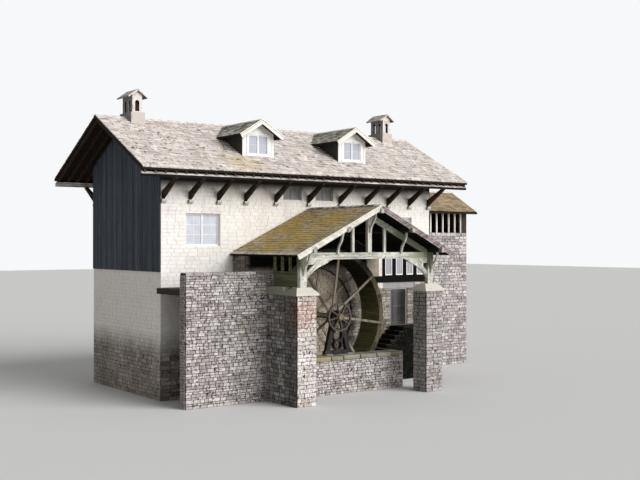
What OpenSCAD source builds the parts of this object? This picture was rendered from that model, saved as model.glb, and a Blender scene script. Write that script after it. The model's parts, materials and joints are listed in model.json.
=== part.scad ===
// Watermill with a timber wheel house, a head race and a spoked water wheel.
// Millimetres, +Z up. The facade is the plane Y = 0 and looks towards -Y before placing.

/* [Mill] */
// Length of the main front wall
mill_len = 16000; // [12000:10:22000]
// Depth of the main block
mill_depth = 7300; // [5500:10:10000]
// Thickness of the masonry walls
wall_t = 500; // [300:10:700]
// Middle line of the porch, from the left corner
mid_x = 8030; // [6000:10:11000]
// Level of the ground floor and the door sill
ground_z = 2700; // [1500:10:3500]
// Level of the first floor
first_z = 5100; // [4600:10:5500]
// Level of the attic floor
attic_z = 8450; // [8340:10:8700]
// Thickness of each floor
floor_t = 180; // [120:10:300]
// Thickness of the boarding on the gable walls
boarding_t = 40; // [20:1:80]
// Height where the boarding starts
boarding_z = 5700; // [3000:10:8000]

/* [Main roof] */
// Height of the upper edge of the slates at the eaves
eave_z = 10220; // [9800:10:11000]
// Pitch of the main roof
roof_pitch = 28; // [22:0.5:35]
// Overhang of the eaves in front of the wall
eave_over = 1350; // [900:10:1600]
// Overhang of the roof past each gable
verge_over = 1540; // [600:10:1800]
// Thickness of the slates and boards
roof_t = 110; // [80:5:160]
// Depth of a rafter
rafter_d = 130; // [90:5:200]
// Width of a rafter
rafter_w = 90; // [60:5:140]
// Wanted distance between rafters
rafter_gap = 485; // [350:5:900]
// Distance of the eaves purlin in front of the wall
purlin_out = 1230; // [700:10:1400]
// Width of the eaves purlin
purlin_w = 140; // [90:5:200]
// Height of the eaves purlin
purlin_h = 150; // [90:5:220]
// Height where the eaves struts stand on the wall
strut_z = 8930; // [8400:10:9300]
// Thickness of the eaves struts
strut_t = 150; // [90:5:220]

/* [Dormers] */
// Distance of each dormer from the porch middle line
dormer_x = 2830; // [2000:10:4200]
// Width of a dormer face
dormer_w = 1750; // [1300:10:2200]
// Distance of the dormer face behind the wall face
dormer_y = 175; // [50:5:600]
// Height of the dormer eaves over the slates at the dormer face
dormer_up = 1009; // [850:1:1150]
// Height of the dormer ridge over the dormer eaves
dormer_rise = 760; // [500:10:820]
// Side overhang of a dormer roof
dormer_side = 350; // [150:10:450]
// Front overhang of a dormer roof
dormer_front = 380; // [100:10:500]
// Thickness of the dormer walls
dormer_t = 100; // [60:5:160]
// Thickness of the dormer roof
dormer_roof_t = 70; // [40:5:110]
// Width of the dormer window
dormer_win_w = 1150; // [700:10:1200]
// Height of the dormer window
dormer_win_h = 960; // [500:10:980]

/* [Chimneys] */
// Distance of each chimney middle from the gable face
chimney_in = 360; // [300:10:1500]
// Width of a chimney shaft
shaft_w = 500; // [400:10:800]
// Depth of a chimney shaft
shaft_d = 1060; // [800:10:1400]
// Height of the foot of the shaft over the ridge
shaft_up = 242; // [120:1:500]
// Height of the shaft
shaft_h = 700; // [500:10:1200]
// How far the chimney foot stands out around the shaft
foot_out = 100; // [50:5:150]
// How far the chimney cap stands out at the sides
cap_out = 240; // [200:10:450]
// Height of the chimney cap
cap_h = 400; // [250:10:600]
// Width of an arched chimney opening
arch_w = 215; // [150:5:260]
// Height of an arched chimney opening
arch_h = 520; // [350:10:600]

/* [Windows] */
// Width of the attic windows
attic_win_w = 1080; // [700:10:1300]
// Height of the attic windows
attic_win_h = 650; // [400:10:750]
// Sill height of the attic windows
attic_win_z = 9070; // [8700:10:9200]
// Distance of the attic windows from the porch middle line
attic_win_x = 960; // [800:10:1500]
// Width of the first floor windows
first_win_w = 1760; // [1000:10:2000]
// Height of the first floor windows
first_win_h = 1470; // [1000:10:1500]
// Sill height of the first floor windows
first_win_z = 6850; // [6700:10:6900]
// Distance of the first floor windows from the corners
first_win_x = 2140; // [1600:10:2600]
// Width of the ground floor windows at the back
back_win_w = 1100; // [700:10:1400]
// Height of the ground floor windows at the back
back_win_h = 1200; // [800:10:1300]
// Width of the timbers of a window frame
frame_w = 70; // [40:5:110]
// Depth of a window frame
frame_d = 80; // [50:5:140]
// Thickness of the glass
glass_t = 12; // [6:1:24]
// How far the frames stand back in the wall
reveal = 120; // [60:5:200]
// Left edge of the long window beside the door
strip_x0 = 12700; // [12550:10:12900]
// Right edge of the long window
strip_x1 = 15860; // [15200:10:15880]
// Foot of the long window
strip_z = 5255; // [5150:5:5300]
// Height of the long window
strip_h = 1245; // [900:5:1450]
// Width of the dark posts of the long window
strip_post = 240; // [150:5:260]

/* [Door] */
// Left edge of the doorway in the wall
door_x0 = 13250; // [12600:10:13600]
// Width of the doorway in the wall
doorway_w = 1180; // [1000:10:1400]
// Height of the doorway
doorway_h = 1920; // [1880:10:1940]
// Width of the door frame timbers
jamb_w = 70; // [50:5:100]
// Depth of the door frame
frame_t = 80; // [60:5:140]
// Thickness of the door leaf
leaf_t = 50; // [40:1:70]
// Gap around the door leaf
leaf_gap = 8; // [6:1:15]
// Height of the stone lintel
lintel_h = 310; // [250:10:330]
// How far the lintel lies on the wall beside the doorway
lintel_out = 480; // [200:10:520]
// How far the door frame stands back from the facade
door_reveal = 30; // [10:5:120]
// Height of the dark beam under the long window
beam_h = 320; // [200:10:320]

/* [Steps] */
// Number of steps in front of the door
step_n = 5; // [3:1:5]
// Rise of a step
step_rise = 210; // [150:5:220]
// Going of a step
step_going = 290; // [240:5:350]
// Left end of the landing in front of the door
step_x0 = 13230; // [13100:10:13250]
// Right end of the landing
step_x1 = 14900; // [14600:10:15600]
// Width of the steps, out from the facade
step_w = 1100; // [900:10:1300]

/* [Wheel house] */
// Height of the ridge of the wheel house
porch_z = 8650; // [8300:10:8900]
// Half width of the wheel house roof
porch_half = 4460; // [4200:10:4800]
// Height of the eaves of the wheel house
porch_eave_z = 6500; // [6400:10:6600]
// How far the roof runs out from the facade
porch_out = 5530; // [5300:10:6500]
// Thickness of the wheel house roof
porch_roof_t = 90; // [60:5:130]
// Distance of the truss from the facade
truss_y = 4655; // [4500:5:4850]
// Half distance between the post middles
post_x = 3680; // [3500:10:4000]
// Width of a post
post_w = 340; // [250:10:420]
// Depth of a post
post_d = 220; // [180:10:300]
// Thickness of the truss
truss_t = 150; // [120:10:200]
// Height of the upper side of the tie beam
tie_z = 6560; // [6500:10:6600]
// Height of the tie beam
tie_h = 290; // [200:10:380]
// Width of the king post
king_w = 220; // [150:10:280]
// Width of the studs beside the king post
stud_w = 130; // [90:5:180]
// Distance of those studs from the king post
stud_x = 920; // [700:10:1200]
// Distance of the middle purlins from the ridge
purlin_x = 1840; // [1500:10:2200]
// Width of the purlins of the wheel house
pp_w = 170; // [120:5:220]
// Depth of the purlins of the wheel house
pp_h = 185; // [120:5:240]
// Depth of the principal rafters
principal_h = 265; // [180:5:320]
// Height of the bolsters under the tie beam
bolster_h = 220; // [120:10:260]
// Width of a curved brace at its foot
brace_w = 280; // [200:10:320]
// Reach of the curved braces
brace_r = 1010; // [800:10:1200]
// Height of the curved braces
brace_h = 710; // [600:10:800]
// Reach of the S-shaped brackets
bracket_reach = 360; // [250:10:500]
// Thickness of a verge bracket
bracket_t = 80; // [50:5:120]
// Width of a verge bracket
bracket_w = 95; // [60:5:130]
// Depth of the bargeboards
barge_h = 250; // [150:5:320]
// Thickness of the bargeboards
barge_t = 60; // [30:5:90]

/* [Piers] */
// Width of a pier
pier_w = 1000; // [800:10:1200]
// Depth of a pier
pier_d = 880; // [760:10:1000]
// Distance of the pier front from the facade
pier_y = 5000; // [4950:10:5200]
// Height of a pier under its stone cap
pier_h = 4730; // [4300:10:4800]
// Height of the stone caps
stone_h = 340; // [250:10:400]
// How far a stone cap stands out
stone_out = 100; // [50:5:160]
// Thickness of the side wall behind the left pier
side_t = 520; // [400:10:700]
// Height of the panel of the side frame
side_panel = 580; // [400:10:700]
// Width of the timbers of the side frame
side_w = 100; // [70:5:150]

/* [Head race and pit] */
// Distance of the race wall front from the facade
race_y = 2640; // [2500:10:2900]
// Thickness of the race wall
race_t = 450; // [300:10:600]
// Height of the race wall
race_h = 5700; // [5300:10:6000]
// Left end of the race wall
race_x0 = -200; // [-1500:10:200]
// Level of the bed of the race
race_bed_z = 5000; // [4700:10:5200]
// Thickness of the bed of the race
race_bed_t = 250; // [150:10:400]
// Front face of the pit wall from the facade
pit_y = 3000; // [2900:10:3300]
// Thickness of the pit wall
pit_t = 850; // [600:10:900]
// Height of the pit wall under its kerb
pit_h = 1540; // [1300:10:1700]
// Height of the kerb stones
kerb_h = 210; // [120:10:300]

/* [Water wheel] */
// Outer radius of the wheel
wheel_r = 3200; // [2600:10:3250]
// Height of the wheel axis
wheel_z = 3510; // [3300:10:3600]
// Distance of the front rim from the facade
wheel_y = 1850; // [1600:10:1900]
// Width of the wheel
wheel_w = 1400; // [1000:10:1450]
// Radial height of a rim
rim_h = 250; // [180:5:350]
// Thickness of a rim
rim_t = 55; // [30:1:90]
// Thickness of the sole boards
sole_t = 30; // [20:1:50]
// Number of buckets
bucket_n = 40; // [24:8:48]
// Thickness of a bucket board
bucket_t = 25; // [15:1:40]
// Lean of the bucket boards
bucket_lean = 28; // [0:1:40]
// Number of arms on each side
arm_n = 8; // [8:8:8]
// Turn of the first arm
arm_turn = -8.5; // [-20:0.5:20]
// Width of an arm
arm_w = 110; // [70:5:160]
// Thickness of an arm
arm_t = 70; // [40:5:100]
// Radius of the iron hub
hub_r = 330; // [250:10:450]
// Thickness of the hub flanges
hub_t = 90; // [60:5:150]
// Radius of the axle
axle_r = 130; // [90:5:180]
// Radius of the iron ring on the back arms
ring_r = 2270; // [1800:10:2500]
// Radius of the small wheel on the axle
small_r = 680; // [500:10:800]
// Distance of the small wheel in front of the rim
small_y = 650; // [640:10:760]
// Thickness of the small wheel
small_t = 90; // [60:5:120]
// Running gap of the axle in its bearings
run_gap = 0.06; // [0.02:0.01:0.1]

/* [Bearing stand] */
// Distance of the stand middle in front of the rim
stand_y = 450; // [400:10:520]
// Thickness of the stand
stand_t = 200; // [140:10:260]
// Half width of the stand at its foot
stand_half = 760; // [600:10:900]
// Width of the stand legs
leg_w = 170; // [120:5:220]

/* [Side wing] */
// Length of the wing beside the mill
wing_len = 4700; // [3000:10:6000]
// Depth of the wing
wing_depth = 3500; // [2500:10:4500]
// Height of the wing ridge
wing_z = 10000; // [9700:10:10100]
// Height of the wing eaves
wing_eave_z = 8750; // [8500:10:8900]
// Eaves overhang of the wing
wing_over = 400; // [200:10:500]
// Verge overhang of the wing
wing_verge = 500; // [200:10:700]
// Height of the masonry under the open strip
wing_sill_z = 7570; // [7200:10:7800]
// Wall thickness of the wing
wing_t = 350; // [250:10:450]
// Thickness of the wing roof
wing_roof_t = 90; // [60:5:120]
// Number of thin posts of the wing
wing_posts_n = 10; // [5:1:14]
// Width of a thin post
wing_post_w = 90; // [60:5:120]
// Level of the wing floor
wing_floor_z = 6600; // [6000:10:7000]

/* [Hidden] */
eps = 0.01;
seat = 0.3;
slit = 2;
big = 40000;
slope = tan(roof_pitch);
roof_v = roof_t / cos(roof_pitch);
rafter_v = rafter_d / cos(roof_pitch);
half_x = mill_len / 2;
ridge_y = mill_depth / 2;
ridge_z = eave_z + (ridge_y + eave_over) * slope;
shaft_z = ridge_z + shaft_up;
dormer_eave_z = eave_z + (dormer_y + eave_over) * slope + dormer_up;
dormer_top_z = dormer_eave_z + dormer_rise;
roof_x0 = -verge_over;
roof_x1 = mill_len + verge_over;
door_x1 = door_x0 + doorway_w;
door_z1 = ground_z + doorway_h;
p_slope = (porch_z - porch_eave_z) / porch_half;
p_cos = cos(atan(p_slope));
p_v = porch_roof_t / p_cos;
d_half = dormer_w / 2;
d_slope = (dormer_top_z - dormer_eave_z) / (d_half + dormer_side);
d_v = dormer_roof_t / cos(atan(d_slope));
pier_top = pier_h + stone_h;
post_f = -truss_y - truss_t / 2 - 40;
post_b = post_f + post_d;
barge_v = barge_h / p_cos;
wing_x1 = mill_len + wing_len;
wing_y0 = ridge_y - wing_depth / 2;
wing_y1 = ridge_y + wing_depth / 2;
wing_slope = (wing_z - wing_eave_z) / (wing_depth / 2 + wing_over);
wing_v = wing_roof_t / cos(atan(wing_slope));
sole_r = wheel_r - rim_h;
arm_out = wheel_r - 40;
kerb_top = pit_h + kerb_h;
stand_mid = -wheel_y - stand_y;
small_mid = -wheel_y - small_y;
wheel_back = -wheel_y + wheel_w;
pit_x0 = mid_x - post_x + pier_w / 2;
pit_x1 = mid_x + wheel_r + 270;
side_x0 = mid_x - post_x - pier_w / 2;
side_x1 = side_x0 + side_t;
pier_back = -pier_y + pier_d;

function top_f(y) = eave_z + (y + eave_over) * slope;
function top_m(y) = y <= ridge_y ? top_f(y) : top_f(mill_depth - y);
function slab_u(y) = top_m(y) - roof_v - seat;
function raft_u(y) = slab_u(y) - rafter_v;
function p_top(dx) = porch_z - abs(dx) * p_slope;
function p_und(dx) = p_top(dx) - p_v - seat;
function purlin_foot(x) = p_und(x + pp_w / 2) - pp_h;
function bow(a, b, c, t) = a * (1 - t) * (1 - t) + b * 2 * t * (1 - t) + c * t * t;
function w_top(y) = wing_z - abs(y - ridge_y) * wing_slope;
function w_und(y) = w_top(y) - wing_v - seat;

module place() {
  translate([-mid_x, -wall_t / 2, 0]) children();
}

module box(x0, x1, y0, y1, z0, z1) {
  translate([x0, y0, z0]) cube([x1 - x0, y1 - y0, z1 - z0]);
}

// A profile in Y and Z, run along X
module run_x(x0, x1) {
  translate([x0, 0, 0]) rotate([90, 0, 90]) linear_extrude(x1 - x0) children();
}

// A profile in X and Z, run along Y
module run_y(y0, y1) {
  translate([0, y1, 0]) rotate([90, 0, 0]) linear_extrude(y1 - y0) children();
}

module both_dormers() {
  for (s = [-1, 1]) translate([mid_x + s * dormer_x, 0, 0]) children();
}

// Everything under the upper face of the main roof
module under_roof() {
  y0 = -eave_over - 1000;
  y1 = mill_depth - y0;
  run_x(-big / 2, big) polygon([
    [y0, top_f(y0) + seat], [ridge_y, ridge_z + seat], [y1, top_f(y0) + seat], [y1, 0], [y0, 0]
  ]);
}

// Masonry of the mill
module front_mass() {
  run_x(0, mill_len) polygon([
    [0, 0], [wall_t, 0], [wall_t, raft_u(wall_t) - seat], [0, raft_u(0) - seat]
  ]);
}

module hole(x, w, z, h, y = 0) {
  box(x - w / 2, x + w / 2, y - 1, y + wall_t + 1, z, z + h);
}

module front_holes() {
  for (s = [-1, 1]) hole(mid_x + s * attic_win_x, attic_win_w, attic_win_z, attic_win_h);
  for (x = [first_win_x, mill_len - first_win_x]) hole(x, first_win_w, first_win_z, first_win_h);
  box(strip_x0, strip_x1, -1, wall_t + 1, strip_z, strip_z + strip_h);
  box(door_x0 - lintel_out, door_x1 + lintel_out, -1, wall_t + 1, door_z1, door_z1 + lintel_h);
}

module front_wall_left() {
  color("#e6e0d8") place() difference() {
    intersection() {
      front_mass();
      box(0, door_x0, -1, wall_t + 1, 0, big);
    }
    front_holes();
  }
}

module front_wall_right() {
  color("#e6e0d8") place() difference() {
    intersection() {
      front_mass();
      box(door_x1, mill_len, -1, wall_t + 1, 0, big);
    }
    front_holes();
  }
}

module front_wall_over_door() {
  color("#e6e0d8") place() difference() {
    intersection() {
      front_mass();
      union() {
        box(door_x0 + eps, door_x1 - eps, -1, wall_t + 1, door_z1 + eps, big);
        box(door_x0 + eps, door_x1 - eps, -1, wall_t + 1, 0, ground_z);
      }
    }
    front_holes();
  }
}

module back_wall() {
  color("#e6e0d8") place() difference() {
    translate([0, mill_depth, 0]) mirror([0, 1, 0]) front_mass();
    for (s = [-1, 1])
      hole(half_x + s * attic_win_x, attic_win_w, attic_win_z, attic_win_h, mill_depth - wall_t);
    for (x = [first_win_x, mill_len - first_win_x]) {
      hole(x, first_win_w, first_win_z, first_win_h, mill_depth - wall_t);
      hole(x, back_win_w, ground_z + 900, back_win_h, mill_depth - wall_t);
    }
  }
}

module gable_profile(y0, y1, z0) {
  polygon([[y0, z0], [y1, z0], [y1, slab_u(y1)], [ridge_y, slab_u(ridge_y)], [y0, slab_u(y0)]]);
}

module gable_wall(x0) {
  run_x(x0, x0 + wall_t) gable_profile(wall_t, mill_depth - wall_t, 0);
}

module left_wall() {
  color("#d9d2c8") place() gable_wall(0);
}

module right_wall() {
  color("#d9d2c8") place() gable_wall(mill_len - wall_t);
}

module wing_profile(grow) {
  polygon([
    [wing_y0 - wing_over - grow, 0], [wing_y1 + wing_over + grow, 0],
    [wing_y1 + wing_over + grow, wing_eave_z + grow], [ridge_y, wing_z + grow + 20],
    [wing_y0 - wing_over - grow, wing_eave_z + grow]
  ]);
}

module gable_boarding() {
  color("#46505c") place() {
    run_x(-boarding_t, 0) gable_profile(0, mill_depth, boarding_z);
    difference() {
      run_x(mill_len, mill_len + boarding_t) gable_profile(0, mill_depth, boarding_z);
      run_x(mill_len - 1, mill_len + boarding_t + 1) wing_profile(30);
    }
  }
}

module floors() {
  color("#8a7355") place() {
    for (z = [ground_z, first_z, attic_z])
      box(wall_t, mill_len - wall_t, wall_t, mill_depth - wall_t, z - floor_t, z);
  }
}

// Main roof
module slope_slab(x0, x1, y0, y1) {
  run_x(x0 + eps, x1 - eps) polygon([
    [y0 + eps, top_f(y0)], [y1, top_f(y1)], [y1, top_f(y1) - roof_v], [y0 + eps, top_f(y0) - roof_v]
  ]);
}

d_in = d_half - dormer_t;
shaft_y0 = dormer_y + dormer_t;
shaft_y1 = (dormer_eave_z - 250 - eave_z) / slope - eave_over;
roof_end = ridge_y - slit / 2;

module dormer_shaft() {
  box(-d_in, d_in, shaft_y0, shaft_y1, eave_z - 2000, ridge_z);
}

// The front slope in straight lengths around the two dormer shafts
module main_roof_front() {
  a = mid_x - dormer_x;
  b = mid_x + dormer_x;
  color("#b9ada0") place() {
    slope_slab(roof_x0, a - d_in, -eave_over, roof_end);
    slope_slab(a + d_in, b - d_in, -eave_over, roof_end);
    slope_slab(b + d_in, roof_x1, -eave_over, roof_end);
    for (x = [a, b]) {
      slope_slab(x - d_in, x + d_in, -eave_over, shaft_y0);
      slope_slab(x - d_in, x + d_in, shaft_y1, roof_end);
    }
  }
}

module main_roof_back() {
  color("#b9ada0") place() translate([0, mill_depth, 0]) mirror([0, 1, 0])
    slope_slab(roof_x0, roof_x1, -eave_over, roof_end);
}

rafter_n = floor((roof_x1 - roof_x0 - 2 * rafter_w) / rafter_gap);
rafter_step = (roof_x1 - roof_x0 - rafter_w - 200) / rafter_n;

module rafter_set() {
  for (i = [0:rafter_n]) {
    x = roof_x0 + 100 + i * rafter_step;
    near_wall = (x > -rafter_w - boarding_t - 5 && x < wall_t + 5)
      || (x > mill_len - wall_t - rafter_w - 5 && x < mill_len + boarding_t + 5);
    y1 = near_wall ? 0 : ridge_y - slit / 2;
    run_x(x, x + rafter_w) polygon([
      [-eave_over + 50, raft_u(-eave_over + 50)], [y1, raft_u(y1)], [y1, slab_u(y1)],
      [-eave_over + 50, slab_u(-eave_over + 50)]
    ]);
  }
}

module rafters() {
  color("#5b4634") place() {
    difference() {
      rafter_set();
      both_dormers() dormer_shaft();
    }
    translate([0, mill_depth, 0]) mirror([0, 1, 0]) rafter_set();
  }
}

module front_and_back() {
  children();
  translate([0, mill_depth, 0]) mirror([0, 1, 0]) children();
}

p_y0 = -purlin_out - purlin_w / 2;
p_y1 = -purlin_out + purlin_w / 2;
p_low = raft_u(p_y0) - purlin_h;

module eaves_purlins() {
  color("#b79a8c") place() front_and_back() run_x(roof_x0 + 20, roof_x1 - 20) polygon([
    [p_y0, p_low], [p_y1, p_low], [p_y1, raft_u(p_y1) - seat], [p_y0, raft_u(p_y0) - seat]
  ]);
}

strut_half = [0, 1930, 3620, 5080, 6550];
strut_x = concat([for (d = strut_half) half_x + d], [for (d = strut_half) if (d > 0) half_x - d],
  [strut_t / 2 + 30, mill_len - strut_t / 2 - 30]);

module eaves_struts() {
  color("#3a281c") place() front_and_back() for (x = strut_x)
    run_x(x - strut_t / 2, x + strut_t / 2) polygon([
      [0, strut_z], [0, strut_z + 330], [p_y0 + 200, p_low], [p_y0, p_low],
      [p_y0, p_low - 40]
    ]);
}

module strut_corbels() {
  color("#cfc6bb") place() front_and_back() for (x = strut_x)
    run_x(x - 110, x + 110) polygon([
      [0, strut_z - 220], [0, strut_z], [-170, strut_z - seat], [-170, strut_z - 90]
    ]);
}

// Dormers
module dormer_gable() {
  z1 = dormer_top_z - d_v - seat;
  difference() {
    run_y(dormer_y, dormer_y + dormer_t) polygon([
      [-d_half, eave_z], [d_half, eave_z], [d_half, z1 - d_half * d_slope], [0, z1],
      [-d_half, z1 - d_half * d_slope]
    ]);
    box(-dormer_win_w / 2, dormer_win_w / 2, dormer_y - 1, dormer_y + dormer_t + 1,
      dormer_eave_z + 80 - dormer_win_h, dormer_eave_z + 80);
  }
}

module dormer_cheek() {
  z1 = dormer_top_z - d_half * d_slope - d_v - seat;
  box(-d_half, -d_half + dormer_t, dormer_y + dormer_t + slit, ridge_y, eave_z, z1);
}

module dormer_walls() {
  color("#e8e2d2") place() difference() {
    both_dormers() {
      dormer_gable();
      dormer_cheek();
      mirror([1, 0, 0]) dormer_cheek();
    }
    under_roof();
  }
}

module dormer_slab() {
  x1 = d_half + dormer_side;
  run_y(dormer_y - dormer_front, ridge_y) polygon([
    [slit / 2, dormer_top_z], [x1, dormer_eave_z], [x1, dormer_eave_z - d_v], [slit / 2, dormer_top_z - d_v]
  ]);
}

module dormer_roofs() {
  color("#b0a496") place() difference() {
    both_dormers() {
      dormer_slab();
      mirror([1, 0, 0]) dormer_slab();
    }
    under_roof();
  }
}

// Chimneys
module arch(w, h, len) {
  translate([0, len / 2, 0]) rotate([90, 0, 0]) linear_extrude(len) {
    translate([-w / 2, 0]) square([w, h - w / 2]);
    translate([0, h - w / 2]) circle(d = w, $fn = 48);
  }
}

module chimney(x) {
  translate([x, ridge_y, 0]) difference() {
    union() {
      box(-shaft_w / 2, shaft_w / 2, -shaft_d / 2, shaft_d / 2, shaft_z - 1, shaft_z + shaft_h);
      box(-shaft_w / 2 - foot_out, shaft_w / 2 + foot_out, -shaft_d / 2 - foot_out, shaft_d / 2 + foot_out,
        ridge_z - 900, shaft_z);
    }
    translate([0, 0, shaft_z + 60]) arch(arch_w, arch_h, shaft_d + 10);
    for (s = [-1, 1])
      translate([0, s * shaft_d / 4.6, shaft_z + 60]) rotate([0, 0, 90]) arch(arch_w, arch_h, shaft_w + 10);
  }
}

module chimneys() {
  color("#bfb3a6") place() difference() {
    union() {
      chimney(chimney_in);
      chimney(mill_len - chimney_in);
    }
    under_roof();
  }
}

module chimney_caps() {
  w = shaft_w / 2 + cap_out;
  v = shaft_w / 2;
  z = shaft_z + shaft_h;
  top = z + cap_h - 80;
  fall = (cap_h - 60) / w;
  color("#a89c8e") place() for (x = [chimney_in, mill_len - chimney_in]) translate([x, 0, 0]) {
    run_y(ridge_y - shaft_d / 2 - 120, ridge_y + shaft_d / 2 + 120) polygon([
      [-w, z - 20], [-w, z + 50], [0, z + cap_h], [w, z + 50], [w, z - 20], [0, top]
    ]);
    run_y(ridge_y - shaft_d / 2, ridge_y + shaft_d / 2) polygon([
      [-v, z], [v, z], [v, top - v * fall + 20], [0, top + 20], [-v, top - v * fall + 20]
    ]);
  }
}

// Windows
module each_window() {
  for (s = [-1, 1])
    translate([mid_x + s * attic_win_x, reveal, attic_win_z]) win(attic_win_w, attic_win_h) children();
  for (x = [first_win_x, mill_len - first_win_x])
    translate([x, reveal, first_win_z]) win(first_win_w, first_win_h) children();
  both_dormers() translate([0, dormer_y, dormer_eave_z + 80 - dormer_win_h])
    win(dormer_win_w, dormer_win_h) children();
  translate([0, mill_depth, 0]) mirror([0, 1, 0]) {
    for (s = [-1, 1])
      translate([half_x + s * attic_win_x, reveal, attic_win_z]) win(attic_win_w, attic_win_h) children();
    for (x = [first_win_x, mill_len - first_win_x]) {
      translate([x, reveal, first_win_z]) win(first_win_w, first_win_h) children();
      translate([x, reveal, ground_z + 900]) win(back_win_w, back_win_h) children();
    }
  }
}

module win(w, h) {
  $w = w;
  $h = h;
  children();
}

module frame_shape() {
  run_y(0, frame_d) difference() {
    translate([-$w / 2, 0]) square([$w, $h]);
    translate([-$w / 2 + frame_w, frame_w]) square([$w / 2 - frame_w * 1.5, $h - 2 * frame_w]);
    translate([frame_w / 2, frame_w]) square([$w / 2 - frame_w * 1.5, $h - 2 * frame_w]);
  }
}

module pane_shape() {
  y0 = frame_d / 2 - glass_t / 2;
  for (s = [0, 1]) mirror([s, 0, 0])
    box(frame_w / 2, $w / 2 - frame_w, y0, y0 + glass_t, frame_w, $h - frame_w);
}

module window_frames() {
  color("#8d8f93") place() each_window() frame_shape();
}

strip_n = 4;
strip_rail = 40;
strip_step = (strip_x1 - strip_x0 - strip_post) / strip_n;

module window_glass() {
  y0 = 50;
  color("#cdd3e4") place() {
    each_window() pane_shape();
    for (i = [0:strip_n - 1])
      box(strip_x0 + strip_post + i * strip_step, strip_x0 + (i + 1) * strip_step, y0, y0 + glass_t,
        strip_z + strip_rail, strip_z + strip_h - strip_rail);
  }
}

module strip_frame() {
  color("#241f1b") place() {
    run_y(0, 110) difference() {
      translate([strip_x0, strip_z]) square([strip_x1 - strip_x0, strip_h]);
      for (i = [0:strip_n - 1])
        translate([strip_x0 + strip_post + i * strip_step, strip_z + strip_rail])
          square([strip_step - strip_post, strip_h - 2 * strip_rail]);
    }
    box(mid_x + wheel_r + 700, mill_len - 60, -60, -eps, strip_z - beam_h, strip_z);
  }
}

// Door
module door_frame() {
  color("#b3aca6") place() {
    for (x = [door_x0 + eps, door_x1 - jamb_w])
      box(x, x + jamb_w - eps, door_reveal, leaf_y1, ground_z, door_z1 - eps);
    box(door_x0 + jamb_w + seat, door_x1 - jamb_w - seat, door_reveal, leaf_y1, door_z1 - jamb_w,
      door_z1 - eps);
    box(door_x0 - lintel_out, door_x1 + lintel_out, 0, wall_t, door_z1 + eps, door_z1 + lintel_h);
  }
}

leaf_x0 = door_x0 + jamb_w + leaf_gap;
leaf_x1 = door_x1 - jamb_w - leaf_gap;
leaf_y1 = door_reveal + frame_t;
hinge_r = 18;
pin_r = 8;
hinge_x = leaf_x0 + 14;
hinge_y = leaf_y1 + hinge_r;
hinge_levels = [ground_z + 300, door_z1 - jamb_w - 420];
bracket_r = 12;

module door_leaf() {
  color("#6a6d72") place() {
    box(leaf_x0, leaf_x1, leaf_y1 - leaf_t, leaf_y1, ground_z + leaf_gap, door_z1 - jamb_w - leaf_gap);
  }
}

// Two straps with a barrel, on the inner face of the leaf
module door_straps() {
  color("#26262a") place() for (z = hinge_levels) difference() {
    union() {
      translate([hinge_x, hinge_y, z]) cylinder(r = hinge_r, h = 90, $fn = 48);
      box(hinge_x, hinge_x + 620, leaf_y1, leaf_y1 + 10, z + 15, z + 75);
    }
    translate([hinge_x, hinge_y, z - 1]) cylinder(r = pin_r + run_gap, h = 92, $fn = 48);
  }
}

// Two pins on brackets that stand on the hinge jamb
module door_pins() {
  color("#26262a") place() for (z = hinge_levels) {
    translate([hinge_x, hinge_y, z - 30]) cylinder(r = pin_r, h = 115, $fn = 48);
    translate([hinge_x, hinge_y, z - 32]) cylinder(r = bracket_r, h = 30, $fn = 48);
    box(door_x0 + 20, hinge_x, hinge_y - bracket_r, hinge_y + bracket_r, z - 32, z - 2);
    box(door_x0 + 20, door_x0 + jamb_w - 5, leaf_y1, hinge_y, z - 32, z - 2);
  }
}

module steps() {
  color("#8f877f") place() for (i = [0:step_n - 1])
    box(step_x0 - i * step_going, step_x1, -step_w, 0, 0, ground_z - 20 - i * step_rise);
}

// Wheel house
module both_sides() {
  for (s = [0, 1]) translate([mid_x, 0, 0]) mirror([s, 0, 0]) children();
}

module porch_piers() {
  color("#c4b6ae") place() both_sides()
    box(post_x - pier_w / 2, post_x + pier_w / 2, -pier_y, pier_back, 0, pier_h);
}

module porch_side_wall() {
  color("#8d827b") place() box(side_x0, side_x1, pier_back, -race_y, 0, pier_h);
}

module stone_cap() {
  lip = 90;
  w = pier_w / 2 + stone_out;
  d = pier_d / 2 + stone_out;
  tw = post_w / 2 + 200;
  cy = -pier_y + pier_d / 2;
  intersection() {
    run_y(cy - d, cy + d) polygon([
      [post_x - w, pier_h], [post_x + w, pier_h], [post_x + w, pier_h + lip], [post_x + tw, pier_top],
      [post_x - tw, pier_top], [post_x - w, pier_h + lip]
    ]);
    run_x(post_x - w, post_x + w) polygon([
      [cy - d, pier_h], [cy + d, pier_h], [cy + d, pier_h + lip], [post_b + 60, pier_top],
      [post_f - 30, pier_top], [cy - d, pier_h + lip]
    ]);
  }
}

module stone_caps() {
  color("#cfccc0") place() {
    both_sides() stone_cap();
    run_y(pier_back + stone_out + slit, -race_y) polygon([
      [side_x0 - 60, pier_h], [side_x1 + 60, pier_h], [side_x1 + 60, pier_h + 70], [side_x1 - 20, pier_top],
      [side_x0 - 60, pier_top]
    ]);
  }
}

module porch_posts() {
  h = post_w / 2;
  color("#cfd0bd") place() both_sides()
    box(post_x - h, post_x + h, post_f, post_b, pier_top, purlin_foot(post_x));
}

module tie_beam() {
  l = post_x - post_w / 2;
  color("#cfd0bd") place()
    box(mid_x - l, mid_x + l, -truss_y - truss_t / 2, -truss_y + truss_t / 2, tie_z - tie_h, tie_z);
}

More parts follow.
